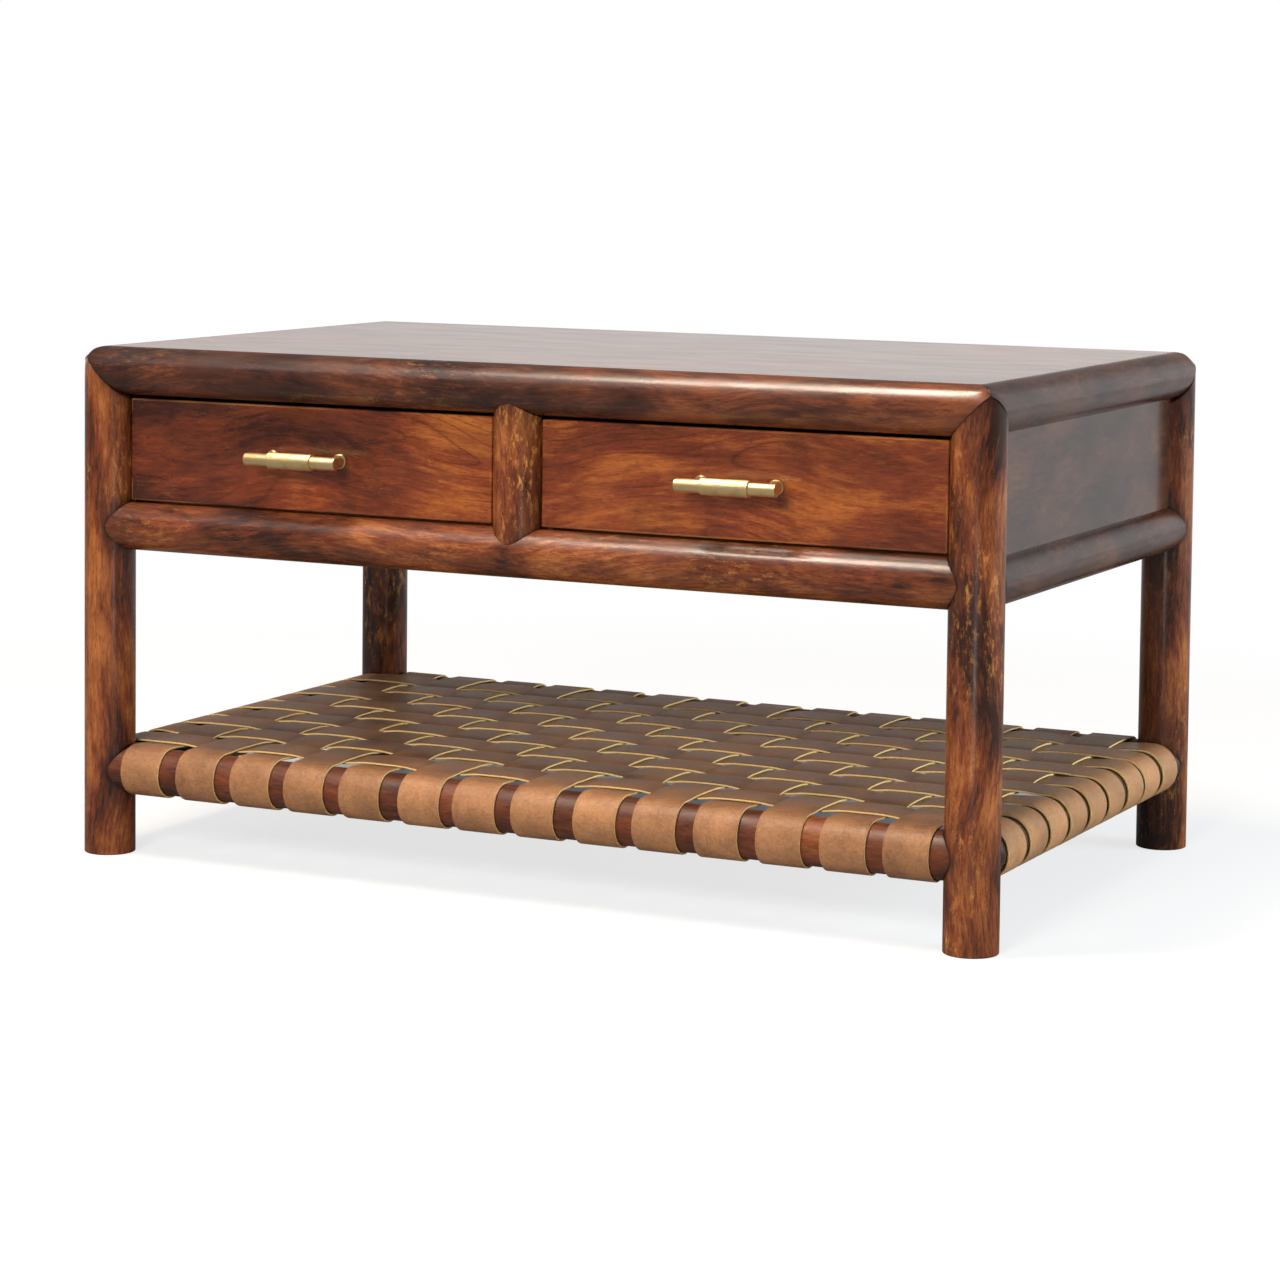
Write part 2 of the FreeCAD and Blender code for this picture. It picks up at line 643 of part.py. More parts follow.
class Ribbon:
    """A strap's middle line, drawn as a turtle draws: runs and turns from a place and a heading."""

    def __init__(self, along, up, heading):
        self.place = FreeCAD.Vector(along, up, 0)
        self.heading = heading
        self.steps = []

    def normal(self, heading):
        """The unit normal on the left of a heading."""
        return FreeCAD.Vector(-math.sin(heading), math.cos(heading), 0)

    def run(self, length):
        """Goes straight on."""
        normal = self.normal(self.heading)
        ahead = FreeCAD.Vector(math.cos(self.heading), math.sin(self.heading), 0)
        end = self.place + ahead * length
        self.steps.append([(self.place, normal), (end, normal)])
        self.place = end

    def turn(self, radius, angle):
        """Goes round an arc, to the left where the angle is positive."""
        hand = math.copysign(1, angle)
        centre = self.place + self.normal(self.heading) * (hand * radius)
        stops = []
        for share in (0, 0.5, 1):
            normal = self.normal(self.heading + share * angle)
            stops.append((centre - normal * (hand * radius), normal))
        self.steps.append(stops)
        self.place = stops[-1][0]
        self.heading += angle

    def step_to(self, length, rise):
        """Goes up or down by a rise within a length, in two equal arcs."""
        if rise == 0:
            self.run(length)
            return
        radius = (length ** 2 + rise ** 2) / (4 * abs(rise))
        angle = 2 * math.atan2(rise, length)
        self.turn(radius, angle)
        self.turn(radius, -angle)

    def side(self, offset, onto):
        """The edges of the line moved sideways by an offset, put onto the strap's plane."""
        edges = []
        for stops in self.steps:
            points = [onto(p + n * offset) for p, n in stops]
            curve = Part.Arc(*points) if len(points) == 3 else Part.LineSegment(*points)
            edges.append(curve.toShape())
        return edges

    def solid(self, onto, sweep):
        """The strap: the line with its thickness, carried across its width."""
        upper = self.side(STRAP_THICKNESS / 2, onto)
        lower = self.side(-STRAP_THICKNESS / 2, onto)
        caps = []
        for p, n in (self.steps[0][0], self.steps[-1][-1]):
            ends = [onto(p + n * (half * STRAP_THICKNESS / 2)) for half in (1, -1)]
            caps.append(Part.LineSegment(*ends).toShape())
        wire = Part.Wire(Part.__sortEdges__(upper + lower + caps))
        return Part.Face(wire).extrude(sweep)


def weave_line(half_span, crossed, first_over):
    """A strap's line: wrapped round one rail, over and under the crossed row, round the other rail."""
    wrap = math.radians(STRAP_WRAP_ANGLE)
    start = math.pi / 2 + wrap
    along = -half_span + strap_wrap_radius * math.cos(start)
    up = SHELF_RAIL_HEIGHT + strap_wrap_radius * math.sin(start)
    line = Ribbon(along, up, wrap)
    line.turn(strap_wrap_radius, -wrap)
    reach = crossed.width / 2 + STRAP_EASE
    level = 0
    for index, middle in enumerate(crossed.centres):
        over = first_over == (index % 2 == 0)
        goal = weave_rise if over else -weave_rise
        line.step_to(middle - reach - line.place.x, goal - level)
        line.run(2 * reach)
        level = goal
    line.step_to(half_span - line.place.x, -level)
    line.turn(strap_wrap_radius, -wrap)
    return line


def tack_spots(half_span, offset, width):
    """The tacks of one strap: their places on the rails and outward directions, in the strap's plane."""
    spots = []
    for hand in SIDES.values():
        angle = math.pi / 2 - hand * math.radians(TACK_ANGLE)
        out = FreeCAD.Vector(math.cos(angle), math.sin(angle), 0)
        axis = FreeCAD.Vector(hand * half_span, SHELF_RAIL_HEIGHT, 0)
        for edge in SIDES.values():
            across = offset + edge * (width / 2 - TACK_EDGE_INSET)
            spots.append((axis, out, across))
    return spots


def make_tack(base, out):
    """A tack: a low cone for a head and a thin shank."""
    shank = rod(base, base - out * TACK_LENGTH, TACK_SHANK_DIAMETER)
    head = Part.makeCone(TACK_HEAD_DIAMETER / 2, TACK_HEAD_DIAMETER / 4, TACK_HEAD_HEIGHT, base, out)
    return shank.fuse(head).removeSplitter()


tacks = []
tack_holes = []


def make_strap(half_span, width, crossed, first_over, offset, place):
    """One strap with its tack holes; place puts (along, up, across) into the table's frame."""
    line = weave_line(half_span, crossed, first_over)
    near = offset - width / 2

    def onto(p):
        return place(p.x, p.y, near)

    sweep = place(0, 0, near + width) - place(0, 0, near)
    holes = []
    head_seat = strap_wrap_radius + STRAP_THICKNESS / 2
    for axis, out, across in tack_spots(half_span, offset, width):
        foot = place(axis.x, axis.y, across)
        way = place(out.x, out.y, across) - place(0, 0, across)
        base = foot + way * head_seat
        tacks.append(make_tack(base, way))
        deep = base - way * (TACK_LENGTH + HOLE_END_PLAY)
        holes.append(rod(base + way, deep, TACK_SHANK_DIAMETER + 2 * SCREW_PLAY))
    tack_holes.extend(holes)
    return cut_all(line.solid(onto, sweep), holes).Solids[0]


def cross_place(along, up, across):
    """A point of a front-to-back strap."""
    return point(across, mid_y + along, up)


def long_place(along, up, across):
    """A point of a left-to-right strap."""
    return point(along, mid_y + across, up)


cross_row = StrapRow(inner_x, CROSS_STRAP_MARGIN, CROSS_STRAP_SPACE, CROSS_STRAP_COUNT)
long_row = StrapRow(inner_back_y - mid_y, LONG_STRAP_MARGIN, LONG_STRAP_SPACE, LONG_STRAP_COUNT)
cross_straps = {"odd": [], "even": []}
for index, middle in enumerate(cross_row.centres):
    odd = index % 2 == 0
    strap = make_strap(post_back_y - mid_y, cross_row.width, long_row, not odd, middle, cross_place)
    cross_straps["odd" if odd else "even"].append(strap)
for name, straps in cross_straps.items():
    nodes[f"cross_straps_{name}"] = Part.makeCompound(straps)
for index, middle in enumerate(long_row.centres):
    strap = make_strap(post_x, long_row.width, cross_row, index % 2 == 0, middle, long_place)
    nodes[f"long_strap_{index + 1}"] = strap
nodes["strap_tacks"] = Part.makeCompound(tacks)

for name, end in ENDS.items():
    rail = low_rail("x", end, SHELF_RAIL_HEIGHT, SHELF_RAIL_DIAMETER, tack_holes)
    nodes[f"shelf_rail_{name}"] = rail
for name, side in SIDES.items():
    rail = low_rail("y", side, SHELF_RAIL_HEIGHT, SHELF_RAIL_DIAMETER, tack_holes)
    nodes[f"shelf_rail_{name}"] = rail

os.makedirs("parts", exist_ok=True)
for name, shape in nodes.items():
    shape.exportStep(f"parts/{name}.step")
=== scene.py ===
"""Looks of a coffee table: round dark wood members, two drawers and a shelf of woven straps.

Lengths are metres in the frame of the solids: +X to the right along the front, +Y to the back,
+Z up.
"""
import logging
import math
from collections.abc import Callable, Sequence
from dataclasses import dataclass, field
from enum import Enum
from functools import partial, partialmethod
from typing import Any

import bmesh
import bpy
import numpy as np
from mathutils import Matrix, Vector


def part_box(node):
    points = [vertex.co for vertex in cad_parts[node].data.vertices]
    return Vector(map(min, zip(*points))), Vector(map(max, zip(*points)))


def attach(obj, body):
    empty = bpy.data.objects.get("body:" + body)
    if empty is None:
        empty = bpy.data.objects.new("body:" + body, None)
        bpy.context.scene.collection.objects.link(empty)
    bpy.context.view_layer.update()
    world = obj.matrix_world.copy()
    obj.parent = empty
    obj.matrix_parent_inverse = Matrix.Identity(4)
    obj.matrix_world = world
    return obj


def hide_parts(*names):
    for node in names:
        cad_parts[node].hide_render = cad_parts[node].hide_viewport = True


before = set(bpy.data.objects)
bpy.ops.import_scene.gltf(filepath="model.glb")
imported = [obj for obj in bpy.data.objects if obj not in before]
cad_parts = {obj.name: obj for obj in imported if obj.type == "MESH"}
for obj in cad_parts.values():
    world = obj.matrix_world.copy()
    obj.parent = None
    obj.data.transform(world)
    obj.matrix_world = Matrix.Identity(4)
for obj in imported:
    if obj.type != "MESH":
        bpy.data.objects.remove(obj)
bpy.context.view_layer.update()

MM = 0.001
FRAME_BODY = "table_frame"
SIDES = {"left": -1, "right": 1}
ENDS = {"front": -1, "back": 1}
log = logging.getLogger("coffee_table")

Colour = tuple[float, float, float]
Screen = tuple[int, int, int]
Box = Sequence[Sequence[float]]
Array = np.ndarray
Material = bpy.types.Material
Trim = Callable[[Array, Array], Array]
WHITE: Colour = (1.0, 1.0, 1.0)


class Axis(Enum):
    """The direction that a member or its grain runs in."""

    X = 0
    Y = 1
    Z = 2

    def across(self) -> tuple[int, int]:
        """The two other axes, in order."""
        first, second = (index for index in range(3) if index != self.value)
        return first, second

    def beside(self) -> "Axis":
        """The other level axis, for X and Y."""
        return Axis(1 - self.value)

    def vector(self, along: float, across: float) -> tuple[float, ...]:
        """A vector with one value along the axis and another across it."""
        return tuple(along if index == self.value else across for index in range(3))

    def middle(self, box: Box) -> float:
        """The middle of a box in this direction."""
        return (box[0][self.value] + box[1][self.value]) / 2

    def half(self, box: Box) -> float:
        """Half the size of a box in this direction."""
        return (box[1][self.value] - box[0][self.value]) / 2

    def points(self, along: Any, first: Array, second: Array) -> Array:
        """Points from their values along the axis and on the two others."""
        parts = np.broadcast_arrays(along, first, second)
        grid = np.empty(parts[0].shape + (3,))
        for index, part in zip((self.value, *self.across()), parts):
            grid[..., index] = part
        return grid


class Slot(Enum):
    """Names of material slots; the pieces made here don't use them."""

    FRAME = "frame_wood"
    FRONT = "front_wood"
    LEATHER = "leather"
    BRASS = "brass"


def srgb(red: int, green: int, blue: int) -> Colour:
    """A linear colour from screen values of 0 to 255."""
    shares = (value / 255 for value in (red, green, blue))
    return tuple(s / 12.92 if s <= 0.04045 else ((s + 0.055) / 1.055) ** 2.4 for s in shares)


# Shader graphs
class Value:
    """A socket of a node graph; arithmetic on it adds Math nodes."""

    def __init__(self, graph: "Graph", socket: bpy.types.NodeSocket) -> None:
        """Keeps the graph and the output socket."""
        self.graph = graph
        self.socket = socket

    def _math(self, operation: str, *others: Any) -> "Value":
        """A Math node's result, of this value and then the others."""
        sockets = dict(enumerate((self, *others)))
        return self.graph.add("ShaderNodeMath", {"operation": operation}, sockets)

    def _reflected(self, operation: str, number: float) -> "Value":
        """A Math node's result, of a number and then this value."""
        sockets = {0: number, 1: self}
        return self.graph.add("ShaderNodeMath", {"operation": operation}, sockets)

    __add__ = __radd__ = partialmethod(_math, "ADD")
    __mul__ = __rmul__ = partialmethod(_math, "MULTIPLY")
    __sub__ = partialmethod(_math, "SUBTRACT")
    __rsub__ = partialmethod(_reflected, "SUBTRACT")
    __pow__ = partialmethod(_math, "POWER")
    __rpow__ = partialmethod(_reflected, "POWER")
    __abs__ = partialmethod(_math, "ABSOLUTE")
    sine = partialmethod(_math, "SINE")
    least = partialmethod(_math, "MINIMUM")
    most = partialmethod(_math, "MAXIMUM")

    def ease(self, low: float, high: float, start: float = 0.0, end: float = 1.0) -> "Value":
        """Goes smoothly from start to end while the value goes from low to high."""
        sockets = {"Value": self, "From Min": low, "From Max": high, "To Min": start, "To Max": end}
        return self.graph.add("ShaderNodeMapRange", {"interpolation_type": "SMOOTHSTEP"}, sockets)


class Graph:
    """The node graph of one material or of the world."""

    def __init__(self, tree: bpy.types.NodeTree) -> None:
        """Empties the tree and keeps it."""
        self.tree = tree
        self.tree.nodes.clear()

    def _socket(self, sockets: Any, key: int | str) -> bpy.types.NodeSocket:
        """A socket by its number, or by its identifier or name."""
        if isinstance(key, int):
            return sockets[key]
        exact = [socket for socket in sockets if socket.identifier == key]
        return (exact or [socket for socket in sockets if socket.name == key])[0]

    def add(
        self,
        kind: str,
        settings: dict[str, Any] | None = None,
        sockets: dict[int | str, Any] | None = None,
        output: int | str = 0,
    ) -> Value | None:
        """Adds a node.

        Args:
            kind: the node's type.
            settings: its own settings, set first; "stops" are a ramp's places and colours.
            sockets: values or links of its inputs, by number, identifier or name.
            output: which output is returned.

        Returns:
            The chosen output, or None for a node without outputs.
        """
        node = self.tree.nodes.new(kind)
        for key, value in (settings or {}).items():
            if key == "stops":
                self._fill_ramp(node.color_ramp, value)
            else:
                setattr(node, key, value)
        for key, value in (sockets or {}).items():
            target = self._socket(node.inputs, key)
            if isinstance(value, Value):
                self.tree.links.new(value.socket, target)
            elif hasattr(target.default_value, "__len__") and len(target.default_value) == 4:
                target.default_value = (*value, 1.0)[:4]
            else:
                target.default_value = value
        return Value(self, self._socket(node.outputs, output)) if len(node.outputs) else None

    def _fill_ramp(self, ramp: bpy.types.ColorRamp, stops: Sequence[tuple[float, Colour]]) -> None:
        """Gives a colour ramp its stops."""
        while len(ramp.elements) < len(stops):
            ramp.elements.new(1.0)
        for element, (place, colour) in zip(ramp.elements, stops):
            element.position = place
            element.color = (*colour, 1.0)

    def place(self) -> Value:
        """The point on the piece, in the table's frame."""
        return self.add("ShaderNodeTexCoord", output="Object")

    def ray(self, kind: str) -> Value:
        """1 for rays of a kind: from the camera, in a reflection or through glass."""
        return self.add("ShaderNodeLightPath", output=f"Is {kind} Ray")

    def mirrored(self) -> Value:
        """1 for rays in a reflection or through glass."""
        return self.ray("Glossy").most(self.ray("Transmission"))

    def attribute(self, name: str) -> Value:
        """A number that the piece's own mesh carries."""
        return self.add("ShaderNodeAttribute", {"attribute_name": name}, output="Fac")

    def scaled(self, vector: Value, scale: Sequence[float]) -> Value:
        """A vector times one scale for each axis."""
        settings = {"operation": "MULTIPLY"}
        return self.add("ShaderNodeVectorMath", settings, {0: vector, 1: scale})

    def moved(self, vector: Value, other: Value, amount: float) -> Value:
        """A vector moved by an amount of another one."""
        sockets = {0: other, 1: (amount, amount, amount), 2: vector}
        return self.add("ShaderNodeVectorMath", {"operation": "MULTIPLY_ADD"}, sockets)

    def split(self, vector: Value) -> tuple[Value, Value, Value]:
        """The three numbers of a vector."""
        node = self.add("ShaderNodeSeparateXYZ", sockets={0: vector}).socket.node
        x, y, z = (Value(self, socket) for socket in node.outputs)
        return x, y, z

    def noise(
        self, vector: Value, scale: float = 1.0, detail: float = 2.0, rough: float = 0.5
    ) -> Value:
        """Smooth noise of about 0 to 1."""
        sockets = {"Vector": vector, "Scale": scale, "Detail": detail, "Roughness": rough}
        return self.add("ShaderNodeTexNoise", sockets=sockets)

    def wander(self, vector: Value, scale: float) -> Value:
        """Smooth noise as a vector."""
        sockets = {"Vector": vector, "Scale": scale, "Detail": 1.0}
        return self.add("ShaderNodeTexNoise", sockets=sockets, output="Color")

    def cells(self, vector: Value, scale: float) -> Value:
        """The distance to the nearest cell border of a cell pattern."""
        settings = {"feature": "DISTANCE_TO_EDGE"}
        return self.add("ShaderNodeTexVoronoi", settings, {"Vector": vector, "Scale": scale})

    def mix(self, share: Any, first: Any, second: Any) -> Value:
        """A mix of two colours."""
        settings = {"data_type": "RGBA", "blend_type": "MIX"}
        sockets = {"Factor_Float": share, "A_Color": first, "B_Color": second}
        return self.add("ShaderNodeMix", settings, sockets, output="Result_Color")

    def ramp(self, share: Value, stops: Sequence[tuple[float, Colour]]) -> Value:
        """A colour ramp."""
        return self.add("ShaderNodeValToRGB", {"stops": stops}, {"Fac": share})

    def bump(self, height: Value, depth: float, strength: float) -> Value:
        """A normal from a height of 0 to 1 and its depth in metres."""
        sockets = {"Height": height, "Distance": depth, "Strength": strength}
        return self.add("ShaderNodeBump", sockets=sockets, output="Normal")

    def surface(self, sockets: dict[int | str, Any]) -> None:
        """Ends a material in one Principled shader."""
        shader = self.add("ShaderNodeBsdfPrincipled", sockets=sockets)
        self.add("ShaderNodeOutputMaterial", sockets={"Surface": shader})


def new_material(name: str) -> tuple[Material, Graph]:
    """A material with an empty graph."""
    material = bpy.data.materials.new(name)
    material.use_nodes = True
    return material, Graph(material.node_tree)


# Finishes
class Layer(Enum):
    """The noises of the wood: waves per metre along and across the grain, detail, roughness."""

    FIGURE = (3.0, 10.0, 1.0, 0.5)
    GRAIN = (26.0, 290.0, 4.0, 0.68)
    FIBRE = (110.0, 950.0, 3.0, 0.7)
    PORE = (150.0, 1500.0, 1.0, 0.5)
    RUB = (60.0, 170.0, 6.0, 0.78)
    PATCH = (8.0, 18.0, 3.0, 0.5)
    SMEAR = (12.0, 30.0, 3.0, 0.5)


@dataclass(frozen=True)
class WoodFinish:
    """Stained wood with streaks, figure, pores, rubbed patches and glaze in the joints.

    Its fields from clouds to pores are how strongly each of these shows.
    """

    name: str
    grain: Axis
    dark: Colour
    middle: Colour
    light: Colour
    rubbed: Colour = srgb(206, 136, 66)
    glaze: Colour = srgb(20, 11, 9)
    cloud_scale: tuple[float, float] = (9.0, 19.0)
    ring_count: float = 62.0
    ring_sharpness: float = 5.0
    worn_gate: tuple[float, float] = (0.45, 0.65)
    clouds: float = 1.6
    grains: float = 0.9
    fibres: float = 0.5
    smoke: float = 0.25
    swirls: float = 0.15
    wear: float = 0.3
    edge_wear_and_highlight: float = 0.28
    pores: float = 0.45
    roughness: float = 0.24
    coat: float = 0.3
    relief: float = 0.4

    def colour(self, graph: Graph, noises: dict[Layer, Value], cloud: Value, rub: Value) -> Value:
        """The colour of the wood.

        The tone is a sum of noises stretched along the grain: soft clouds of stain, short grain
        lines and fibres. Over it lie smoky patches, dark swirls where a slow noise passes even
        steps, as year rings do on a board, and then rubs, pores and the glaze in the joints.

        Args:
            graph: the material's graph.
            noises: the noise of each layer.
            cloud: the noise of the stain.
            rub: how far the stain is rubbed off.

        Returns:
            The colour.
        """
        place = graph.place()
        tone = (
            (cloud - 0.5) * self.clouds
            + (noises[Layer.GRAIN] - 0.5) * self.grains
            + (noises[Layer.FIBRE] - 0.5) * self.fibres
            + 0.5
            + graph.attribute("tone")
        )
        stops = [(0.16, self.dark), (0.47, self.middle), (0.84, self.light)]
        rings = 1 - abs((noises[Layer.FIGURE] * self.ring_count).sine())
        swirl = rings**self.ring_sharpness * graph.noise(place, scale=10.0).ease(0.4, 0.62)
        smoke = graph.noise(place, scale=8.0, detail=3.0, rough=0.6).ease(0.5, 0.7)
        shade = (swirl * self.swirls).most(smoke * self.smoke)
        colour = graph.mix(shade, graph.ramp(tone, stops), self.dark)
        colour = graph.mix(rub, colour, self.rubbed)
        colour = graph.mix(noises[Layer.PORE].ease(0.58, 0.68) * self.pores, colour, self.dark)
        glaze = graph.attribute("glaze") * cloud.ease(0.25, 0.6, 1.0, 0.7)
        return graph.mix(glaze.least(0.93), colour, self.glaze)

    def paint(self) -> Material:
        """The material: the colour, a gloss that smears and rubs dull, and a fine relief."""
        material, graph = new_material(self.name)
        place = graph.place()
        bent = graph.moved(place, graph.wander(place, scale=5.0), 0.06)
        noises = {}
        for layer in Layer:
            along, across, detail, rough = layer.value
            start = bent if layer in (Layer.FIGURE, Layer.GRAIN) else place
            vector = graph.scaled(start, self.grain.vector(along, across))
            noises[layer] = graph.noise(vector, detail=detail, rough=rough)
        vector = graph.scaled(bent, self.grain.vector(*self.cloud_scale))
        cloud = graph.noise(vector, detail=5.0, rough=0.6)
        patch, smear = noises[Layer.PATCH], noises[Layer.SMEAR]
        # On the drawer fronts' eased edges the rubbed colour is partly edge wear and partly a
        # painted highlight where the edges catch light
        edge = graph.attribute("edge") * patch.ease(0.42, 0.6) * self.edge_wear_and_highlight
        rub = noises[Layer.RUB].ease(0.5, 0.68) * patch.ease(*self.worn_gate)
        rub = (rub * self.wear).most(edge)
        glossy, dull = self.roughness - self.relief * 0.12, self.roughness + self.relief * 0.25
        height = noises[Layer.GRAIN] * 0.5 + noises[Layer.FIBRE] * 0.5 + smear * 0.5
        graph.surface({
            "Base Color": self.colour(graph, noises, cloud, rub),
            "Roughness": smear.ease(0.3, 0.75, glossy, dull) + rub * 0.2,
            "Coat Weight": self.coat,
            "Coat Roughness": 0.12,
            "Normal": graph.bump(height, 0.2 * MM, self.relief),
        })
        return material


@dataclass(frozen=True)
class LeatherFinish:
    """Tan strap leather: pebbled grain, wandering tone, soft creases and raw cut edges."""

    name: str
    dark: Colour = srgb(98, 66, 45)
    light: Colour = srgb(182, 130, 87)
    edge: Colour = srgb(232, 202, 140)
    edge_dark: Colour = srgb(196, 156, 96)
    creases: float = 0.22

    def paint(self) -> Material:
        """The material.

        Its mesh carries "cut", 1 on the cut edges, and "tone", the shade of each strap, which also
        holds painted shade on the weave's run and a painted sheen on the long straps' side wraps.

        Returns:
            The finished material.
        """
        material, graph = new_material(self.name)
        place = graph.place()
        mottle = graph.noise(place, scale=26.0, detail=5.0, rough=0.65)
        speck = graph.noise(place, scale=420.0, detail=3.0)
        fibre = graph.noise(place, scale=1600.0)
        bent = graph.moved(place, graph.wander(place, scale=60.0), 0.01)
        crease = 1 - abs(graph.noise(bent, scale=95.0, detail=3.0) - 0.5).ease(0.0, 0.05)
        pebble = graph.cells(place, scale=950.0).ease(0.0, 0.3)
        cut = graph.attribute("cut").ease(0.35, 0.65)
        tone = mottle * 0.7 + speck * 0.3 + graph.attribute("tone")
        colour = graph.ramp(tone, [(0.22, self.dark), (0.78, self.light)])
        colour = graph.mix(crease * self.creases, colour, self.dark)
        raw = graph.mix(fibre.ease(0.35, 0.7), self.edge_dark, self.edge)
        height = pebble * 0.6 + speck * 0.5 - crease * 0.8 + fibre * cut
        graph.surface({
            "Base Color": graph.mix(cut, colour, raw),
            "Roughness": mottle.ease(0.3, 0.7, 0.34, 0.46) + cut * 0.4,
            "Specular IOR Level": 0.35,
            "Normal": graph.bump(height, 0.22 * MM, 0.6),
        })
        return material


@dataclass(frozen=True)
class MetalFinish:
    """Satin metal with fine turning marks and a few dull spots."""

    name: str
    bright: Colour
    dull: Colour
    roughness: float

    def paint(self) -> Material:
        """The material."""
        material, graph = new_material(self.name)
        place = graph.place()
        tarnish = graph.noise(place, scale=90.0, detail=4.0, rough=0.6)
        marks = graph.noise(graph.scaled(place, (2600.0, 300.0, 300.0)), detail=1.0)
        smooth, rough = self.roughness - 0.05, self.roughness + 0.14
        graph.surface({
            "Base Color": graph.mix(tarnish.ease(0.45, 0.75), self.bright, self.dull),
            "Metallic": 1.0,
            "Roughness": tarnish.ease(0.3, 0.8, smooth, rough),
            "Normal": graph.bump(marks, 0.02 * MM, 0.4),
        })
        return material


def tones(dark: Screen, middle: Screen, light: Screen) -> dict[str, Colour]:
    """The three tones of a wood, from screen values."""
    return {"dark": srgb(*dark), "middle": srgb(*middle), "light": srgb(*light)}


FRAME_TONES = tones((42, 19, 11), (104, 50, 25), (156, 93, 46))
BOARD_TONES = tones((52, 21, 12), (112, 49, 23), (173, 99, 40))
RAIL_TONES = tones((36, 18, 12), (70, 35, 22), (120, 64, 34))
# Painted shade: darker tones for the side rails and side panels, standing in for the shade on the
# table's sides
SIDE_PAINTED_SHADE_TONES = tones((30, 18, 14), (54, 32, 24), (86, 50, 34))
PLAIN_TONES = tones((142, 104, 70), (176, 136, 96), (198, 160, 118))
PLAIN = {"clouds": 0.6, "smoke": 0.0, "wear": 0.0, "roughness": 0.5, "coat": 0.0, **PLAIN_TONES}
WOODS = {
    "top_rail": WoodFinish(
        "top_rail_wood_along_x", Axis.X, wear=0.2, roughness=0.29, coat=0.05, **RAIL_TONES),
    "rail_x": WoodFinish(
        "stained_wood_along_x", Axis.X, wear=0.4, roughness=0.29, coat=0.05, **FRAME_TONES),
    "rail_y": WoodFinish(
        "side_wood_along_y_painted_shade", Axis.Y, wear=0.1, coat=0.05, relief=0.2, **SIDE_PAINTED_SHADE_TONES),
    "shelf_rail": WoodFinish(
        "shelf_rail_wood_along_x", Axis.X, clouds=1.0, grains=0.5, wear=0.1, roughness=0.46,
        coat=0.0, **FRAME_TONES),
    "post": WoodFinish(
        "stained_wood_upright", Axis.Z, cloud_scale=(8.0, 27.0), clouds=1.9, wear=0.6, coat=0.08,
        **FRAME_TONES),
    "divider": WoodFinish(
        "divider_wood_upright", Axis.Z, cloud_scale=(8.0, 27.0), clouds=1.5, wear=0.95,
        worn_gate=(0.3, 0.48), coat=0.08, **FRAME_TONES),
    "front": WoodFinish(
        "figured_drawer_front", Axis.X, cloud_scale=(5.5, 18.0), clouds=1.4, grains=0.6,
        fibres=0.3, smoke=0.5, swirls=0.65, wear=0.12, coat=0.2, **BOARD_TONES),
    "top": WoodFinish(
        "table_top_wood", Axis.X, cloud_scale=(2.4, 15.0), clouds=1.4, swirls=0.4, wear=0.05,
        roughness=0.2, relief=0.06, **RAIL_TONES),
    "panel_y": WoodFinish(
        "side_panel_wood_painted_shade", Axis.Y, wear=0.06, roughness=0.22, coat=0.45, relief=0.1,
        **SIDE_PAINTED_SHADE_TONES),
    "panel_x": WoodFinish(
        "back_panel_wood", Axis.X, cloud_scale=(3.5, 16.0), wear=0.06, roughness=0.22, relief=0.1,
        **RAIL_TONES),
    "plain_x": WoodFinish("plain_wood_along_x", Axis.X, **PLAIN),
    "plain_y": WoodFinish("plain_wood_along_y", Axis.Y, **PLAIN),
}
LEATHER = LeatherFinish("strap_leather")
BRASS = MetalFinish("satin_brass", srgb(248, 222, 166), srgb(228, 194, 136), 0.4)
STEEL = MetalFinish("plain_steel", srgb(190, 190, 188), srgb(150, 150, 150), 0.35)


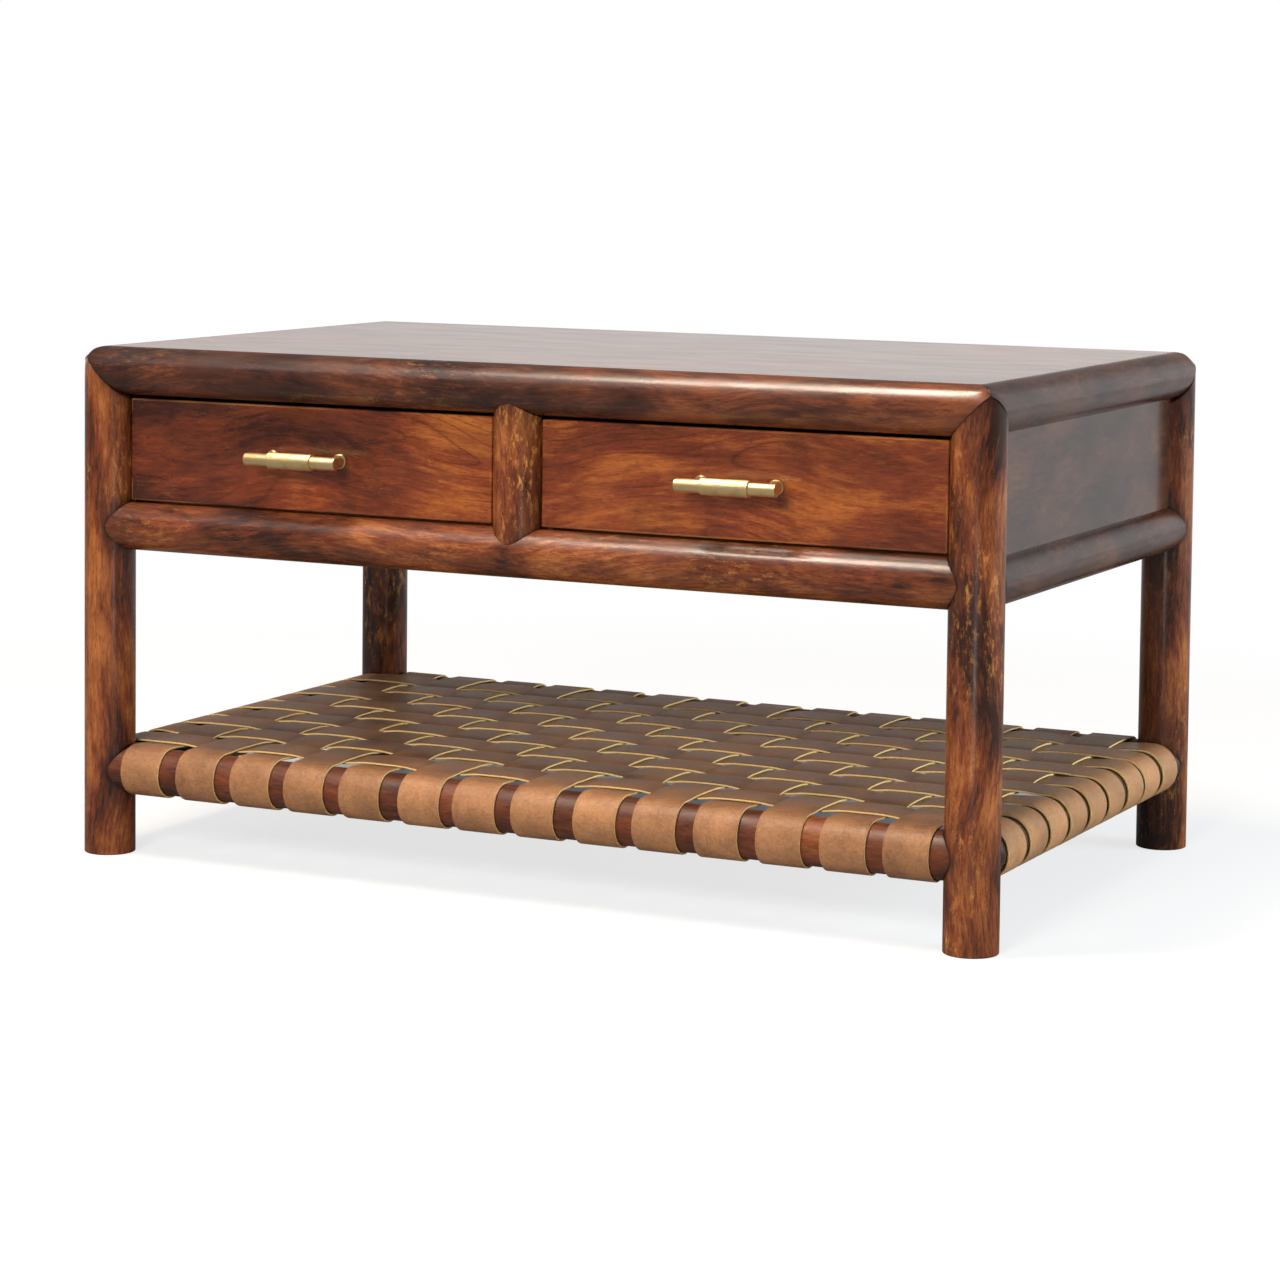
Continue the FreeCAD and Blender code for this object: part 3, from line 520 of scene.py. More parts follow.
# Meshes
@dataclass
class Skin:
    """Grids of points that become one piece of the table."""

    name: str
    points: list[Array] = field(default_factory=list)
    quads: list[Array] = field(default_factory=list)
    marks: dict[str, list[Array]] = field(default_factory=dict)
    count: int = 0

    def add(self, grid: Array, **marks: Array | float) -> None:
        """Adds a grid of rows and columns, whose last column joins the first one.

        Args:
            grid: points as rows x columns x 3.
            marks: numbers that the mesh carries at each point, as rows x columns or one value.
        """
        rows, columns = grid.shape[:2]
        index = self.count + np.arange(rows * columns).reshape(rows, columns)
        ahead = np.roll(index, -1, axis=1)
        corners = (index[:-1], index[1:], ahead[1:], ahead[:-1])
        self.quads.append(np.stack(corners, axis=-1).reshape(-1, 4))
        self.points.append(grid.reshape(-1, 3))
        for name, mark in marks.items():
            spread = np.broadcast_to(mark, (rows, columns)).ravel()
            self.marks.setdefault(name, []).append(spread)
        self.count += rows * columns

    def piece(self, material: Material, body: str, nodes: Sequence[str]) -> None:
        """Makes the piece, closes its poles and turns its faces outwards.

        Args:
            material: its finish.
            body: the body that it rides on.
            nodes: the nodes that it stands for.
        """
        points = np.concatenate(self.points)
        quads = np.concatenate(self.quads)
        first, second, third, fourth = np.moveaxis(points[quads], 1, 0)
        volume = (first * (np.cross(second, third) + np.cross(third, fourth))).sum()
        if volume < 0:
            quads = quads[:, ::-1]
        mesh = bpy.data.meshes.new(self.name)
        mesh.from_pydata(points.tolist(), [], quads.tolist(), shade_flat=False)
        for name, parts in self.marks.items():
            mark = mesh.attributes.new(name, "FLOAT", "POINT")
            mark.data.foreach_set("value", np.concatenate(parts).astype(np.float32))
        mesh.materials.append(material)
        close_poles(mesh)
        obj = bpy.data.objects.new(self.name, mesh)
        bpy.context.scene.collection.objects.link(obj)
        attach(obj, body)
        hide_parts(*nodes)
        log.info("%s: %d faces, stands for %s", self.name, len(mesh.polygons), ", ".join(nodes))


def close_poles(mesh: bpy.types.Mesh) -> None:
    """Merges points that lie on each other, so that poles are single points."""
    work = bmesh.new()
    work.from_mesh(mesh)
    bmesh.ops.remove_doubles(work, verts=work.verts, dist=1e-6)
    work.to_mesh(mesh)
    work.free()
    mesh.update()


def circle(radius: float, count: int = 96) -> Array:
    """A round profile: points at even angles at one radius."""
    angle = np.linspace(0, 2 * np.pi, count, endpoint=False)
    return radius * np.stack((np.cos(angle), np.sin(angle)), axis=-1)


def quarter(ease: float, count: int) -> tuple[Array, Array]:
    """An eased edge as a quarter circle: how far its points lie inside each of the two faces."""
    turn = np.linspace(0, np.pi / 2, count)
    return ease * (1 - np.sin(turn)), ease * (1 - np.cos(turn))


@dataclass(frozen=True)
class Layout:
    """The places that the pieces share."""

    half_width: float
    front: float
    back: float
    height: float
    post_radius: float

    @classmethod
    def read(cls) -> "Layout":
        """The places in the boxes of the posts and of the top."""
        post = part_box("post_front_right")
        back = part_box("post_back_right")[1][1]
        return cls(post[1][0], post[0][1], back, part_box("top_panel")[1][2], Axis.X.half(post))

    def face(self, way: Axis, sign: int) -> float:
        """The table's outer face on the low or the high side of X or Y."""
        if way is Axis.X:
            return sign * self.half_width
        return self.front if sign < 0 else self.back

    def post(self, side: int, end: int) -> tuple[float, float]:
        """The axis of a post."""
        x, y = self.face(Axis.X, side), self.face(Axis.Y, end)
        return x - side * self.post_radius, y - end * self.post_radius


def glaze_at(distance: Array) -> Array:
    """Glaze that gathers in a joint: a dark line that fades fast, in a smudge that fades slowly."""
    reach, smudge_reach, smudge = 3.5 * MM, 14 * MM, 0.62
    away = np.maximum(distance, 0)
    return np.maximum(np.exp(-away / reach), smudge * np.exp(-away / smudge_reach))


# The wooden frame: the change of tone at each member's low and high end, partly the stain's own
# variation and partly painted light and shade: the back posts are darker as painted shade, and the
# front top rail is lighter towards its right end as a painted highlight. Also the finishes of the
# lower rails along the front and the back
MEMBER_TONES_AND_PAINTED_LIGHT: dict[str, tuple[float, float]] = {
    "post_front_left": (-0.08, 0.1),
    "post_front_right": (0.03, -0.2),
    "post_back_left": (-0.28, -0.28),
    "post_back_right": (-0.1, -0.1),
    "top_rail_front": (-0.24, 0.14),
    "apron_rail_front": (-0.04, -0.12),
    "front_divider": (-0.06, -0.02),
    "shelf_rail_front": (-0.2, -0.1),
}
LOW_RAILS = {"apron_rail": "rail_x", "shelf_rail": "shelf_rail"}


@dataclass
class RoundMember:
    """A profile carried along a straight axis, with each end trimmed to what it meets."""

    name: str
    axis: Axis
    centre: tuple[float, float]
    profile: Array
    start: Trim
    finish: Trim
    ease: float = 0.7 * MM
    foot: bool = False
    stations: int = 48
    sanding: Callable[[Array, Array], Array] | None = None
    stain: Callable[[Array], Array] | None = None

    def rows(self, share: Array, steps: Array, run: Array) -> tuple[Array, ...]:
        """Sets the rows of the grid out along the member.

        Args:
            share: the part of the profile that each row keeps, as rows x 1 or rows x columns.
            steps: how far the rows of an end lie from its trimmed end.
            run: the places of the other rows, from 0 to 1.

        Returns:
            The grid, and the distances of its points from the low and the high end.
        """
        first, second = np.moveaxis(self.profile * share[..., None], -1, 0)
        low, high = self.start(first, second), self.finish(first, second)
        count = len(steps)
        inner = slice(count, -count)
        along = np.empty_like(low)
        along[:count] = low[:count] + steps[:, None]
        along[-count:] = high[-count:] - steps[::-1, None]
        along[inner] = low[inner] + self.ease + (high - low - 2 * self.ease)[inner] * run[:, None]
        grid = self.axis.points(along, self.centre[0] + first, self.centre[1] + second)
        return grid, along - low, high - along

    def outward(self) -> Array:
        """The direction of each profile point from the axis, in three dimensions."""
        way = self.axis.points(0.0, self.profile[:, 0], self.profile[:, 1])
        return way / np.linalg.norm(way, axis=1, keepdims=True)

    def build(self, wood: Material) -> None:
        """Makes the member's surface.

        A row of the grid is the profile times a share, set at a distance from its trimmed end. The
        share goes from 0 at the middle of an end to 1 less the eased rim, round the rim as a
        quarter circle, and then stays 1 along the member. The other end mirrors this. Rows lie
        closer together near the ends. The mesh carries the glaze near the joints and the tone,
        which goes evenly from one end to the other.

        Args:
            wood: its finish.
        """
        size = np.abs(self.profile).max()
        inset, step = quarter(self.ease, 5)
        shares = np.concatenate(([0.0, 0.5], 1 - inset / size))
        steps = np.concatenate(([0.0, 0.0], step))
        run = (1 - np.cos(np.pi * np.linspace(0, 1, self.stations)[1:-1])) / 2
        share = np.concatenate((shares, np.ones(len(run)), shares[::-1]))[:, None]
        grid, from_low, from_high = self.rows(share, steps, run)
        if self.sanding is not None:
            worn = self.sanding(grid, self.outward())
            grid, from_low, from_high = self.rows(share * (1 - worn / size), steps, run)
        glaze = glaze_at(from_high if self.foot else np.minimum(from_low, from_high))
        if self.stain is not None:
            glaze = np.maximum(glaze, self.stain(grid))
        # The tone is partly the stain's own and partly painted light and shade
        low_tone, high_tone = MEMBER_TONES_AND_PAINTED_LIGHT.get(self.name, (0.0, 0.0))
        tone = low_tone + (high_tone - low_tone) * from_low / (from_low + from_high)
        skin = Skin(self.name)
        skin.add(grid, glaze=glaze, tone=tone)
        skin.piece(wood, FRAME_BODY, [self.name])


@dataclass
class Frame:
    """Posts, top rails, apron rails, shelf rails and the divider."""

    layout: Layout
    materials: dict[str, Material]
    glue_gap: float = 0.2 * MM
    sanding_reach: float = 12 * MM
    stain_fade: float = 8 * MM

    def corner_wear(self, own: Axis, points: Array, outward: Array) -> Array:
        """How much wood is sanded off a member round the nearest of the table's upper corners.

        Near a corner, where three members meet, a point's depth inside another member's round is
        measured. Where that is less than the reach, the wear is a quarter of the reach, times the
        square of the share that is missing, times one less the cosine of the angle between the two
        rounds there, on the outer side only.

        Args:
            own: the direction of the member.
            points: its points.
            outward: the outward direction of each column of points.

        Returns:
            The wear at each point.
        """
        layout = self.layout
        rail = Axis.Z.half(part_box("top_rail_front"))
        radii = {Axis.X: rail, Axis.Y: rail, Axis.Z: layout.post_radius}
        side = np.sign(points[..., 0])
        end = np.sign(points[..., 1] - (layout.front + layout.back) / 2)
        y = np.where(end < 0, layout.front, layout.back)
        faces = np.stack((side * layout.half_width, y, np.full_like(y, layout.height)), axis=-1)
        signs = np.stack((side, end, np.ones_like(side)), axis=-1)

        def outer(way: Array) -> Array:
            """1 where a direction points to the corner, easing to 0 where its parts sum to 0.6."""
            return np.clip((way * signs).sum(axis=-1) * 2 - 1.2, 0, 1)

        total = np.zeros(points.shape[:2])
        for other in Axis:
            if other is own:
                continue
            radius = radii[other]
            spread = points - (faces - signs * radius)
            spread[..., other.value] = 0
            distance = np.linalg.norm(spread, axis=-1)
            near = np.clip(1 - np.abs(distance - radius) / self.sanding_reach, 0, 1)
            agree = (spread * outward).sum(axis=-1) / np.maximum(distance, 1e-9)
            total += self.sanding_reach / 4 * near**2 * (1 - agree) * outer(spread / radius)
        return total * outer(outward)

    def post(self, end_name: str, side_name: str) -> None:
        """A post, mitred at the top and stained where rails join it."""
        layout, side, end = self.layout, SIDES[side_name], ENDS[end_name]
        x, y = layout.post(side, end)

        def top(a: Array, b: Array) -> Array:
            """The height less the larger of the depths from the two outer faces."""
            depth_x = layout.half_width - side * (x + a)
            depth_y = end * (layout.face(Axis.Y, end) - (y + b))
            return layout.height - np.maximum(depth_x, depth_y)

        def stain(points: Array) -> Array:
            """The largest glaze round the rails that join the post, on the sides where they are."""
            total = np.zeros(points.shape[:2])
            for kind in LOW_RAILS:
                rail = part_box(f"{kind}_{end_name}")
                rise = points[..., 2] - Axis.Z.middle(rail)
                for along, across in ((0, 1), (1, 0)):
                    offset = np.hypot(points[..., across] - (x, y)[across], rise)
                    inside = abs((x, y)[along]) - np.abs(points[..., along])
                    here = np.clip(inside / self.stain_fade, 0, 1)
                    total = np.maximum(total, glaze_at(offset - Axis.Z.half(rail)) * here)
            return total

        RoundMember(
            f"post_{end_name}_{side_name}", Axis.Z, (x, y), circle(layout.post_radius),
            lambda a, b: np.zeros_like(a), top, ease=1.2 * MM, foot=True, stations=150,
            sanding=partial(self.corner_wear, Axis.Z), stain=stain,
        ).build(self.materials["post"])

    def top_rail(self, name: str, axis: Axis, sign: int) -> None:
        """A top rail: a round with a rebate for the top, mitred where the outer depths agree."""
        layout = self.layout
        node = f"top_rail_{name}"
        radius = Axis.Z.half(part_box(node))
        centre = (layout.face(axis.beside(), sign) - sign * radius, layout.height - radius)
        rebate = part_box("top_panel")[0][2] - centre[1]
        angle = np.linspace(np.pi / 2, 2 * np.pi + math.asin(rebate / radius), 90)
        profile = radius * np.stack((np.cos(angle), np.sin(angle)), axis=-1)
        profile = np.concatenate((profile, [[0.0, rebate]])) * (-sign, 1.0)

        def depth(a: Array, b: Array) -> Array:
            """The larger of the depths below the top and behind the outer face."""
            return np.maximum(radius - b, radius - sign * a)

        RoundMember(
            node, axis, centre, profile,
            lambda a, b: layout.face(axis, -1) + depth(a, b),
            lambda a, b: layout.face(axis, 1) - depth(a, b),
            ease=0.5 * MM, sanding=partial(self.corner_wear, axis),
        ).build(self.materials["top_rail" if axis is Axis.X else "rail_y"])

    def low_rail(self, kind: str, name: str, axis: Axis, sign: int) -> None:
        """An apron or shelf rail, whose ends follow the posts or the mitre with the next rail."""
        node = f"{kind}_{name}"
        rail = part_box(node)
        seat = self.layout.post_radius + self.glue_gap
        low, high = (self.layout.post(end, end)[axis.value] for end in (-1, 1))
        across = self.layout.post(sign, sign)[axis.beside().value]

        def cope(a: Array) -> Array:
            """From the post's axis: root of seat squared less offset squared, or the mitre."""
            return np.maximum(np.sqrt(seat**2 - a**2), -sign * a)

        RoundMember(
            node, axis, (across, Axis.Z.middle(rail)), circle(Axis.Z.half(rail)),
            lambda a, b: low + cope(a), lambda a, b: high - cope(a),
        ).build(self.materials[LOW_RAILS[kind] if axis is Axis.X else "rail_y"])

    def divider(self) -> None:
        """The divider: a round with a flat back, coped over the front top rail and apron rail."""
        node = "front_divider"
        low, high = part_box(node)
        radius = Axis.X.half((low, high))
        y = low[1] + radius
        profile = np.minimum(circle(radius), (np.inf, high[1] - y))
        top_radius = Axis.Z.half(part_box("top_rail_front"))
        top_y, top_z = self.layout.front + top_radius, self.layout.height - top_radius
        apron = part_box("apron_rail_front")
        apron_radius, apron_z = Axis.Z.half(apron), Axis.Z.middle(apron)
        apron_y = self.layout.post(1, -1)[1]

        def saddle(b: Array, rail_y: float, rail_radius: float) -> Array:
            """Half the rail's height: root of the seat squared less the distance squared."""
            return np.sqrt((rail_radius + self.glue_gap) ** 2 - (y + b - rail_y) ** 2)

        RoundMember(
            node, Axis.Z, (0.0, y), profile,
            lambda a, b: apron_z + saddle(b, apron_y, apron_radius),
            lambda a, b: top_z - saddle(b, top_y, top_radius),
        ).build(self.materials["divider"])

    def build(self) -> None:
        """Makes every member."""
        for end_name in ENDS:
            for side_name in SIDES:
                self.post(end_name, side_name)
        rails = [(name, Axis.X, sign) for name, sign in ENDS.items()]
        rails += [(name, Axis.Y, sign) for name, sign in SIDES.items()]
        for rail in rails:
            self.top_rail(*rail)
        for kind in LOW_RAILS:
            for rail in rails:
                self.low_rail(kind, *rail)
        self.divider()


# The woven shelf
@dataclass
class Strap:
    """One leather strap: a flat profile carried along a woven line that wraps two rails."""

    name: str
    axis: Axis
    node: str
    middle: float
    rails: tuple[float, float]
    rail_z: float
    crossings: Array
    first_over: bool
    random: np.random.Generator
    bow: float = 0.0
    bow_skew: float = 0.7
    # A lighter wrap tone is a painted sheen; the shelf gives it to the long straps' wraps round the
    # side rails
    wrap_tone: float = 0.0
    # Painted shade: the weave's run past the wraps is darker, as the shelf lies under the table top
    run_painted_shade: float = -0.15
    tone_spread: float = 0.06
    run_shade_fade: float = 30 * MM
    width: float = 41 * MM
    thickness: float = 2.05 * MM
    wrap_radius: float = 22.33 * MM
    wrap_angle: float = math.radians(240)
    rise: float = 1.3 * MM
    rise_start: float = 24 * MM
    squareness: float = 1.8
    step: float = 2.6 * MM

    def weave(self, along: Array) -> Array:
        """The height over the weave's plane.

        A cosine that reaches +1 over one crossing strap and -1 under the next, squared off by a
        hyperbolic tangent, and eased to nothing at the rails.

        Args:
            along: places along the strap.

        Returns:
            The heights.
        """
        low, high = self.rails
        count = len(self.crossings)
        stops = np.concatenate(([low], self.crossings, [high]))
        phases = np.concatenate(([-0.5], np.arange(count), [count - 0.5])) * np.pi
        wave = np.cos(np.interp(along, stops, phases)) * (1 if self.first_over else -1)
        wave = np.tanh(self.squareness * wave) / math.tanh(self.squareness)
        near = np.clip(np.minimum(along - low, high - along) / self.rise_start, 0, 1)
        return self.rise * wave * near * near * (3 - 2 * near)

    def line(self) -> tuple[Array, Array]:
        """The middle line in the strap's upright plane: an arc round each rail, then the weave.

        Returns:
            Points and upward normals, each as stations x 2 of along and up.
        """
        low, high = self.rails
        arc_count = int(self.wrap_angle * self.wrap_radius / self.step)
        turn = np.linspace(self.wrap_angle, 0, arc_count)
        low_arc = np.stack((-np.sin(turn), np.cos(turn)), axis=-1)
        high_arc = (low_arc * (-1, 1))[::-1]
        along = np.linspace(low, high, int((high - low) / self.step))[1:-1]
        height = self.weave(along)
        slope = np.gradient(height, along)
        run_normal = np.stack((-slope, np.ones_like(slope)), axis=-1)
        run_normal /= np.linalg.norm(run_normal, axis=-1, keepdims=True)
        run = np.stack((along, self.rail_z + self.wrap_radius + height), axis=-1)
        low_wrap = (low, self.rail_z) + low_arc * self.wrap_radius
        high_wrap = (high, self.rail_z) + high_arc * self.wrap_radius
        points = np.concatenate((low_wrap, run, high_wrap))
        return points, np.concatenate((low_arc, run_normal, high_arc))

    def profile(self) -> tuple[Array, Array]:
        """The section: a flat strap whose cut edges are slightly rounded.

        Returns:
            Points as (across, up), from 0 to 1 of the half sizes, and the cut mark of each point.
        """
        flat = np.linspace(-0.965, 0.965, 9)
        top = np.stack((flat, np.ones_like(flat)), axis=-1)
        corner = np.array([(0.985, 0.9), (0.997, 0.62), (1.0, 0.2)])
        corner = np.concatenate((corner, corner[::-1] * (1, -1)))
        cut = np.concatenate((np.zeros(9), [0.2, 0.9, 1.0, 1.0, 0.9, 0.2]))
        return np.concatenate((top, corner, -top, -corner)), np.tile(cut, 2)

    def ripple(self, length: Array, wave_length: float, size: float) -> Array:
        """A slow unevenness: three sines of nearby wave lengths with phases of their own."""
        phases = self.random.uniform(0, 2 * np.pi, 3)
        stretch = self.random.uniform(0.7, 1.5, 3) * wave_length
        return size / 3 * np.sin(2 * np.pi * length[:, None] / stretch + phases).sum(axis=1)

    def build(self, leather: Material) -> None:
        """Makes the surface: section points set out along the line's normal and across the strap.

        A bow is half a sine wave, skewed to the strap's start by a power of the way along it. The
        tone goes from that of the wraps to a darker one on the weave past each rail, which is
        painted shade, as the shelf lies under the table top.

        Args:
            leather: the finish.
        """
        line, normal = self.line()
        steps = np.linalg.norm(np.diff(line, axis=0), axis=1)
        length = np.concatenate(([0], np.cumsum(steps)))
        section, cut = self.profile()
        drift = self.ripple(length, wave_length=260 * MM, size=0.9 * MM)
        drift += self.bow * np.sin(np.pi * (length / length[-1]) ** self.bow_skew)
        half = self.width / 2 + self.ripple(length, wave_length=90 * MM, size=0.35 * MM)
        lift = self.ripple(length, wave_length=70 * MM, size=0.12 * MM)
        last = len(length) - 1
        row = np.concatenate(([0], np.arange(len(length)), [last]))
        thick = np.full((len(row), 1), self.thickness / 2)
        thick[[0, -1]] = 0
        across = self.middle + drift[row, None] + section[:, 0] * half[row, None]
        out = lift[row, None] + section[:, 1] * thick
        along, up = (line[row, None, way] + normal[row, None, way] * out for way in (0, 1))
        from_end = np.minimum(length, length[-1] - length)
        past_wrap = from_end - self.wrap_angle * self.wrap_radius
        # How far past the wrap, into the weave's run, whose darker tone is painted shade
        rubbed = np.clip(past_wrap / self.run_shade_fade + 0.5, 0, 1)[row, None]
        tone = self.random.uniform(-self.tone_spread, self.tone_spread)
        tone = tone + self.wrap_tone + (self.run_painted_shade - self.wrap_tone) * rubbed
        skin = Skin(self.name)
        skin.add(self.axis.points(along, across, up), cut=cut, tone=tone)
        skin.piece(leather, FRAME_BODY, [self.node])


@dataclass
class Shelf:
    """The rows of straps, woven over and under each other."""

    layout: Layout
    leather: Material
    cross_count: int = 14
    long_count: int = 9
    unevenness: float = 1.6 * MM
    slack: float = 7.5 * MM
    # Painted sheen: the long straps' wraps round the side rails are lighter
    side_wrap_painted_sheen: float = 0.12
    seed: int = 11

    def centres(
        self, low: float, high: float, count: int, random: np.random.Generator
    ) -> Array:
        """The middles of a row of straps: evenly spread, each a little off."""
        inset = Strap.width / 2
        even = np.linspace(low + inset, high - inset, count)
        return even + random.uniform(-self.unevenness, self.unevenness, count)

    def build(self) -> None:
        """Makes every strap; a long one passes over a cross one where their numbers sum evenly."""
        random = np.random.default_rng(self.seed)
        cross_low, cross_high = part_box("cross_straps_odd")[0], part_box("cross_straps_even")[1]
        long_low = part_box("long_strap_1")[0]
        long_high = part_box(f"long_strap_{self.long_count}")[1]
        cross = self.centres(cross_low[0], cross_high[0], self.cross_count, random)
        long = self.centres(long_low[1], long_high[1], self.long_count, random)
        rail_z = Axis.Z.middle(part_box("shelf_rail_front"))
        rails_x, rails_y = zip(self.layout.post(-1, -1), self.layout.post(1, 1))
        for index, middle in enumerate(cross):
            odd = index % 2 == 0
            node = "cross_straps_odd" if odd else "cross_straps_even"
            name = f"cross_strap_leather_{index + 1}"
            strap = Strap(name, Axis.Y, node, middle, rails_y, rail_z, long, not odd, random)
            strap.build(self.leather)
        for index, middle in enumerate(long):
            node = f"long_strap_{index + 1}"
            name = f"long_strap_leather_{index + 1}"
            over = index % 2 == 0
            strap = Strap(name, Axis.X, node, middle, rails_x, rail_z, cross, over, random)
            strap.bow = -self.slack if index == 0 else 0.0
            # The side wraps get the painted sheen
            strap.wrap_tone = self.side_wrap_painted_sheen
            strap.build(self.leather)


# The handles
@dataclass
class Handle:
    """A T-bar handle: a plain bar, a knurled grip on it and two turned standoffs."""

    side: str
    brass: Material
    bar_ease: float = 0.9 * MM
    knurl_pitch: float = 1.9 * MM
    knurl_depth: float = 0.36 * MM
    grip_rim: float = 1.0 * MM
    grip_ease: float = 0.7 * MM
    grip_rows: int = 176
    grip_columns: int = 144
    neck: float = 4.5 * MM
    base_height: float = 2.5 * MM
    base_ease: float = 0.8 * MM
    flare_height: float = 8.0 * MM
    flare_power: float = 2.2
    around: int = 48

    def box(self, part: str) -> Box:
        """The box of one of the handle's nodes."""
        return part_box(f"{self.side}_handle_{part}")

    def make(self, part: str, work: str, *grids: Array) -> None:
        """Makes one of the handle's pieces from its grids."""
        node = f"{self.side}_handle_{part}"
        skin = Skin(f"{node}_{work}")
        for grid in grids:
            skin.add(grid)
        skin.piece(self.brass, f"{self.side}_drawer", [node])

    def turned(self, start: Sequence[float], way: Axis, profile: Array) -> Array:
        """A turned surface: each (distance, radius) point of a profile carried round the axis.

        Args:
            start: where the distance is 0.
            way: the axis.
            profile: rows of distance and radius.

        Returns:
            The grid of points.
        """
        distance, radius = profile[:, :1], profile[:, 1:]
        ring = circle(1.0, self.around)
        first, second = (start[index] + radius * ring[:, n] for n, index in enumerate(way.across()))
        return way.points(start[way.value] + distance, first, second)

    def bar(self) -> None:
        """The bar: a round whose ends are eased as quarter circles."""
        box = self.box("bar")
        inset, step = quarter(self.bar_ease, 6)
        end = np.stack((inset, Axis.Z.half(box) - step), axis=-1)[::-1]
        end = np.concatenate(([[0, 0]], end))
        other = end[::-1] * (-1, 1) + (2 * Axis.X.half(box), 0)
        start = (box[0][0], Axis.Y.middle(box), Axis.Z.middle(box))
        self.make("bar", "turned", self.turned(start, Axis.X, np.concatenate((end, other))))

    def grip(self) -> None:
        """The grip: a round less a depth that is least where crossing helices meet.

        The height of a diamond is the smaller of two triangle waves, which run up to the right and
        to the left. The ends are eased and close on the bar.
        """
        box = self.box("grip")
        radius, length = Axis.Z.half(box), 2 * Axis.X.half(box)
        starts = round(2 * np.pi * radius / self.knurl_pitch)
        along = np.linspace(0, length, self.grip_rows)[:, None]
        angle = np.linspace(0, 2 * np.pi, self.grip_columns, endpoint=False)
        turn = angle * starts / (2 * np.pi)
        rise = along / self.knurl_pitch

        def wave(phase: Array) -> Array:
            """A triangle wave of 0 to 1 and period 1."""
            return np.abs(2 * (phase % 1) - 1)

        diamond = np.minimum(wave(turn + rise), wave(turn - rise))
        ease = np.clip(np.minimum(along, length - along) / self.grip_rim, 0, 1)
        rim = self.grip_ease * (1 - np.sqrt(1 - (1 - ease) ** 2))
        reach = radius - self.knurl_depth * diamond * ease - rim
        bore = np.full((1, self.grip_columns), Axis.Z.half(self.box("bar")))
        reach = np.concatenate((bore, reach, bore))
        x = box[0][0] + np.concatenate((along[:1], along, along[-1:]))
        y = Axis.Y.middle(box) + reach * np.cos(angle)
        z = Axis.Z.middle(box) + reach * np.sin(angle)
        self.make("grip", "knurled", Axis.X.points(x, y, z))

    def standoffs(self) -> None:
        """The standoffs: a round base with an eased rim, a hollow flare and a straight neck."""
        low, high = box = self.box("standoffs")
        base = Axis.Z.half(box)
        inset, step = quarter(self.base_ease, 6)
        rim = np.stack((self.base_height - inset, base - step), axis=-1)
        sweep = np.linspace(0, 1, 10)[1:]
        spread = (base - self.base_ease - self.neck) * (1 - sweep) ** self.flare_power
        rise = self.base_height + self.flare_height * sweep
        flare = np.stack((rise, self.neck + spread), axis=-1)
        length = high[1] - Axis.Y.middle(self.box("bar"))
        tail = ((length, self.neck), (length, 0.0))
        profile = np.concatenate((((0.0, 0.0), (0.0, base)), rim, flare, tail))
        starts = [(x, high[1], Axis.Z.middle(box)) for x in (low[0] + base, high[0] - base)]
        grids = [self.turned(start, Axis.Y, profile * (-1, 1)) for start in starts]
        self.make("standoffs", "turned", *grids)

    def build(self) -> None:
        """Makes the handle's pieces."""
        self.bar()
        self.grip()
        self.standoffs()


# The drawer fronts
@dataclass
class DrawerFront:
    """A drawer front: a flat board whose face has eased edges."""

    side: str
    wood: Material
    left_tone: float
    corner: float = 1.8 * MM
    ease: float = 1.6 * MM
    edge_step: float = 0.2 * MM
    corner_points: int = 6

    def outline(self, half: tuple[float, float], inset: float) -> Array:
        """A rectangle with round corners: their centres plus the corner radius less an inset."""
        angle = np.linspace(0, np.pi / 2, self.corner_points)
        turn = (angle + np.arange(4)[:, None] * np.pi / 2).ravel()
        signs = np.repeat([[1, 1], [-1, 1], [-1, -1], [1, -1]], self.corner_points, axis=0)
        centres = signs * (np.array(half) - self.corner)
        return centres + (self.corner - inset) * np.stack((np.cos(turn), np.sin(turn)), axis=-1)

    def build(self) -> None:
        """Makes the board.

        Outlines go from the back's middle, over the sides and the eased edge, to the face's middle.
        Each row is its depth, its inset, its share of the outline and whether it is on the edge.
        """
        node = f"{self.side}_drawer_front"
        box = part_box(node)
        face, back = box[0][1], box[1][1]
        half = (Axis.X.half(box), Axis.Z.half(box))
        middle = (Axis.X.middle(box), Axis.Z.middle(box))
        rows = [(back, 0, share, 0) for share in (0, 0.995, 1)]
        rows += [(y, 0, 1, 0) for y in (back - self.edge_step, face + self.ease + self.edge_step)]
        rows += [(face + depth, inset, 1, 1) for depth, inset in zip(*quarter(self.ease, 7))]
        rows += [(face, self.ease, share, 0) for share in (0.996, 0.5, 0)]
        outlines = [middle + self.outline(half, inset) * share for _, inset, share, _ in rows]
        x, z = np.moveaxis(np.array(outlines), -1, 0)
        y, edge = (np.array([[row[column]] for row in rows]) for column in (0, 3))
        left = np.clip((middle[0] - x) / half[0], 0, 1)
        skin = Skin(f"{self.side}_drawer_front_board")
        # The edge mark gets pale wear and a painted highlight along the eased edges
        skin.add(Axis.Y.points(y, x, z), edge=edge, tone=left * self.left_tone)
        skin.piece(self.wood, f"{self.side}_drawer", [node])


# Solids that keep their shape: the finish of the first mark that a node's name holds
BOARD_FINISHES = {
    "screws": "steel",
    "tacks": "steel",
    "top_panel": "top",
    "back_panel": "panel_x",
    "side_panel": "panel_y",
    "centre_partition": "plain_y",
    "_drawer_front": None,
    "_drawer_side_": "plain_y",
    "_drawer_": "plain_x",
    "runner": "plain_y",
    "frame_dowels": "plain_x",
    "drawer_stops": "plain_x",
}


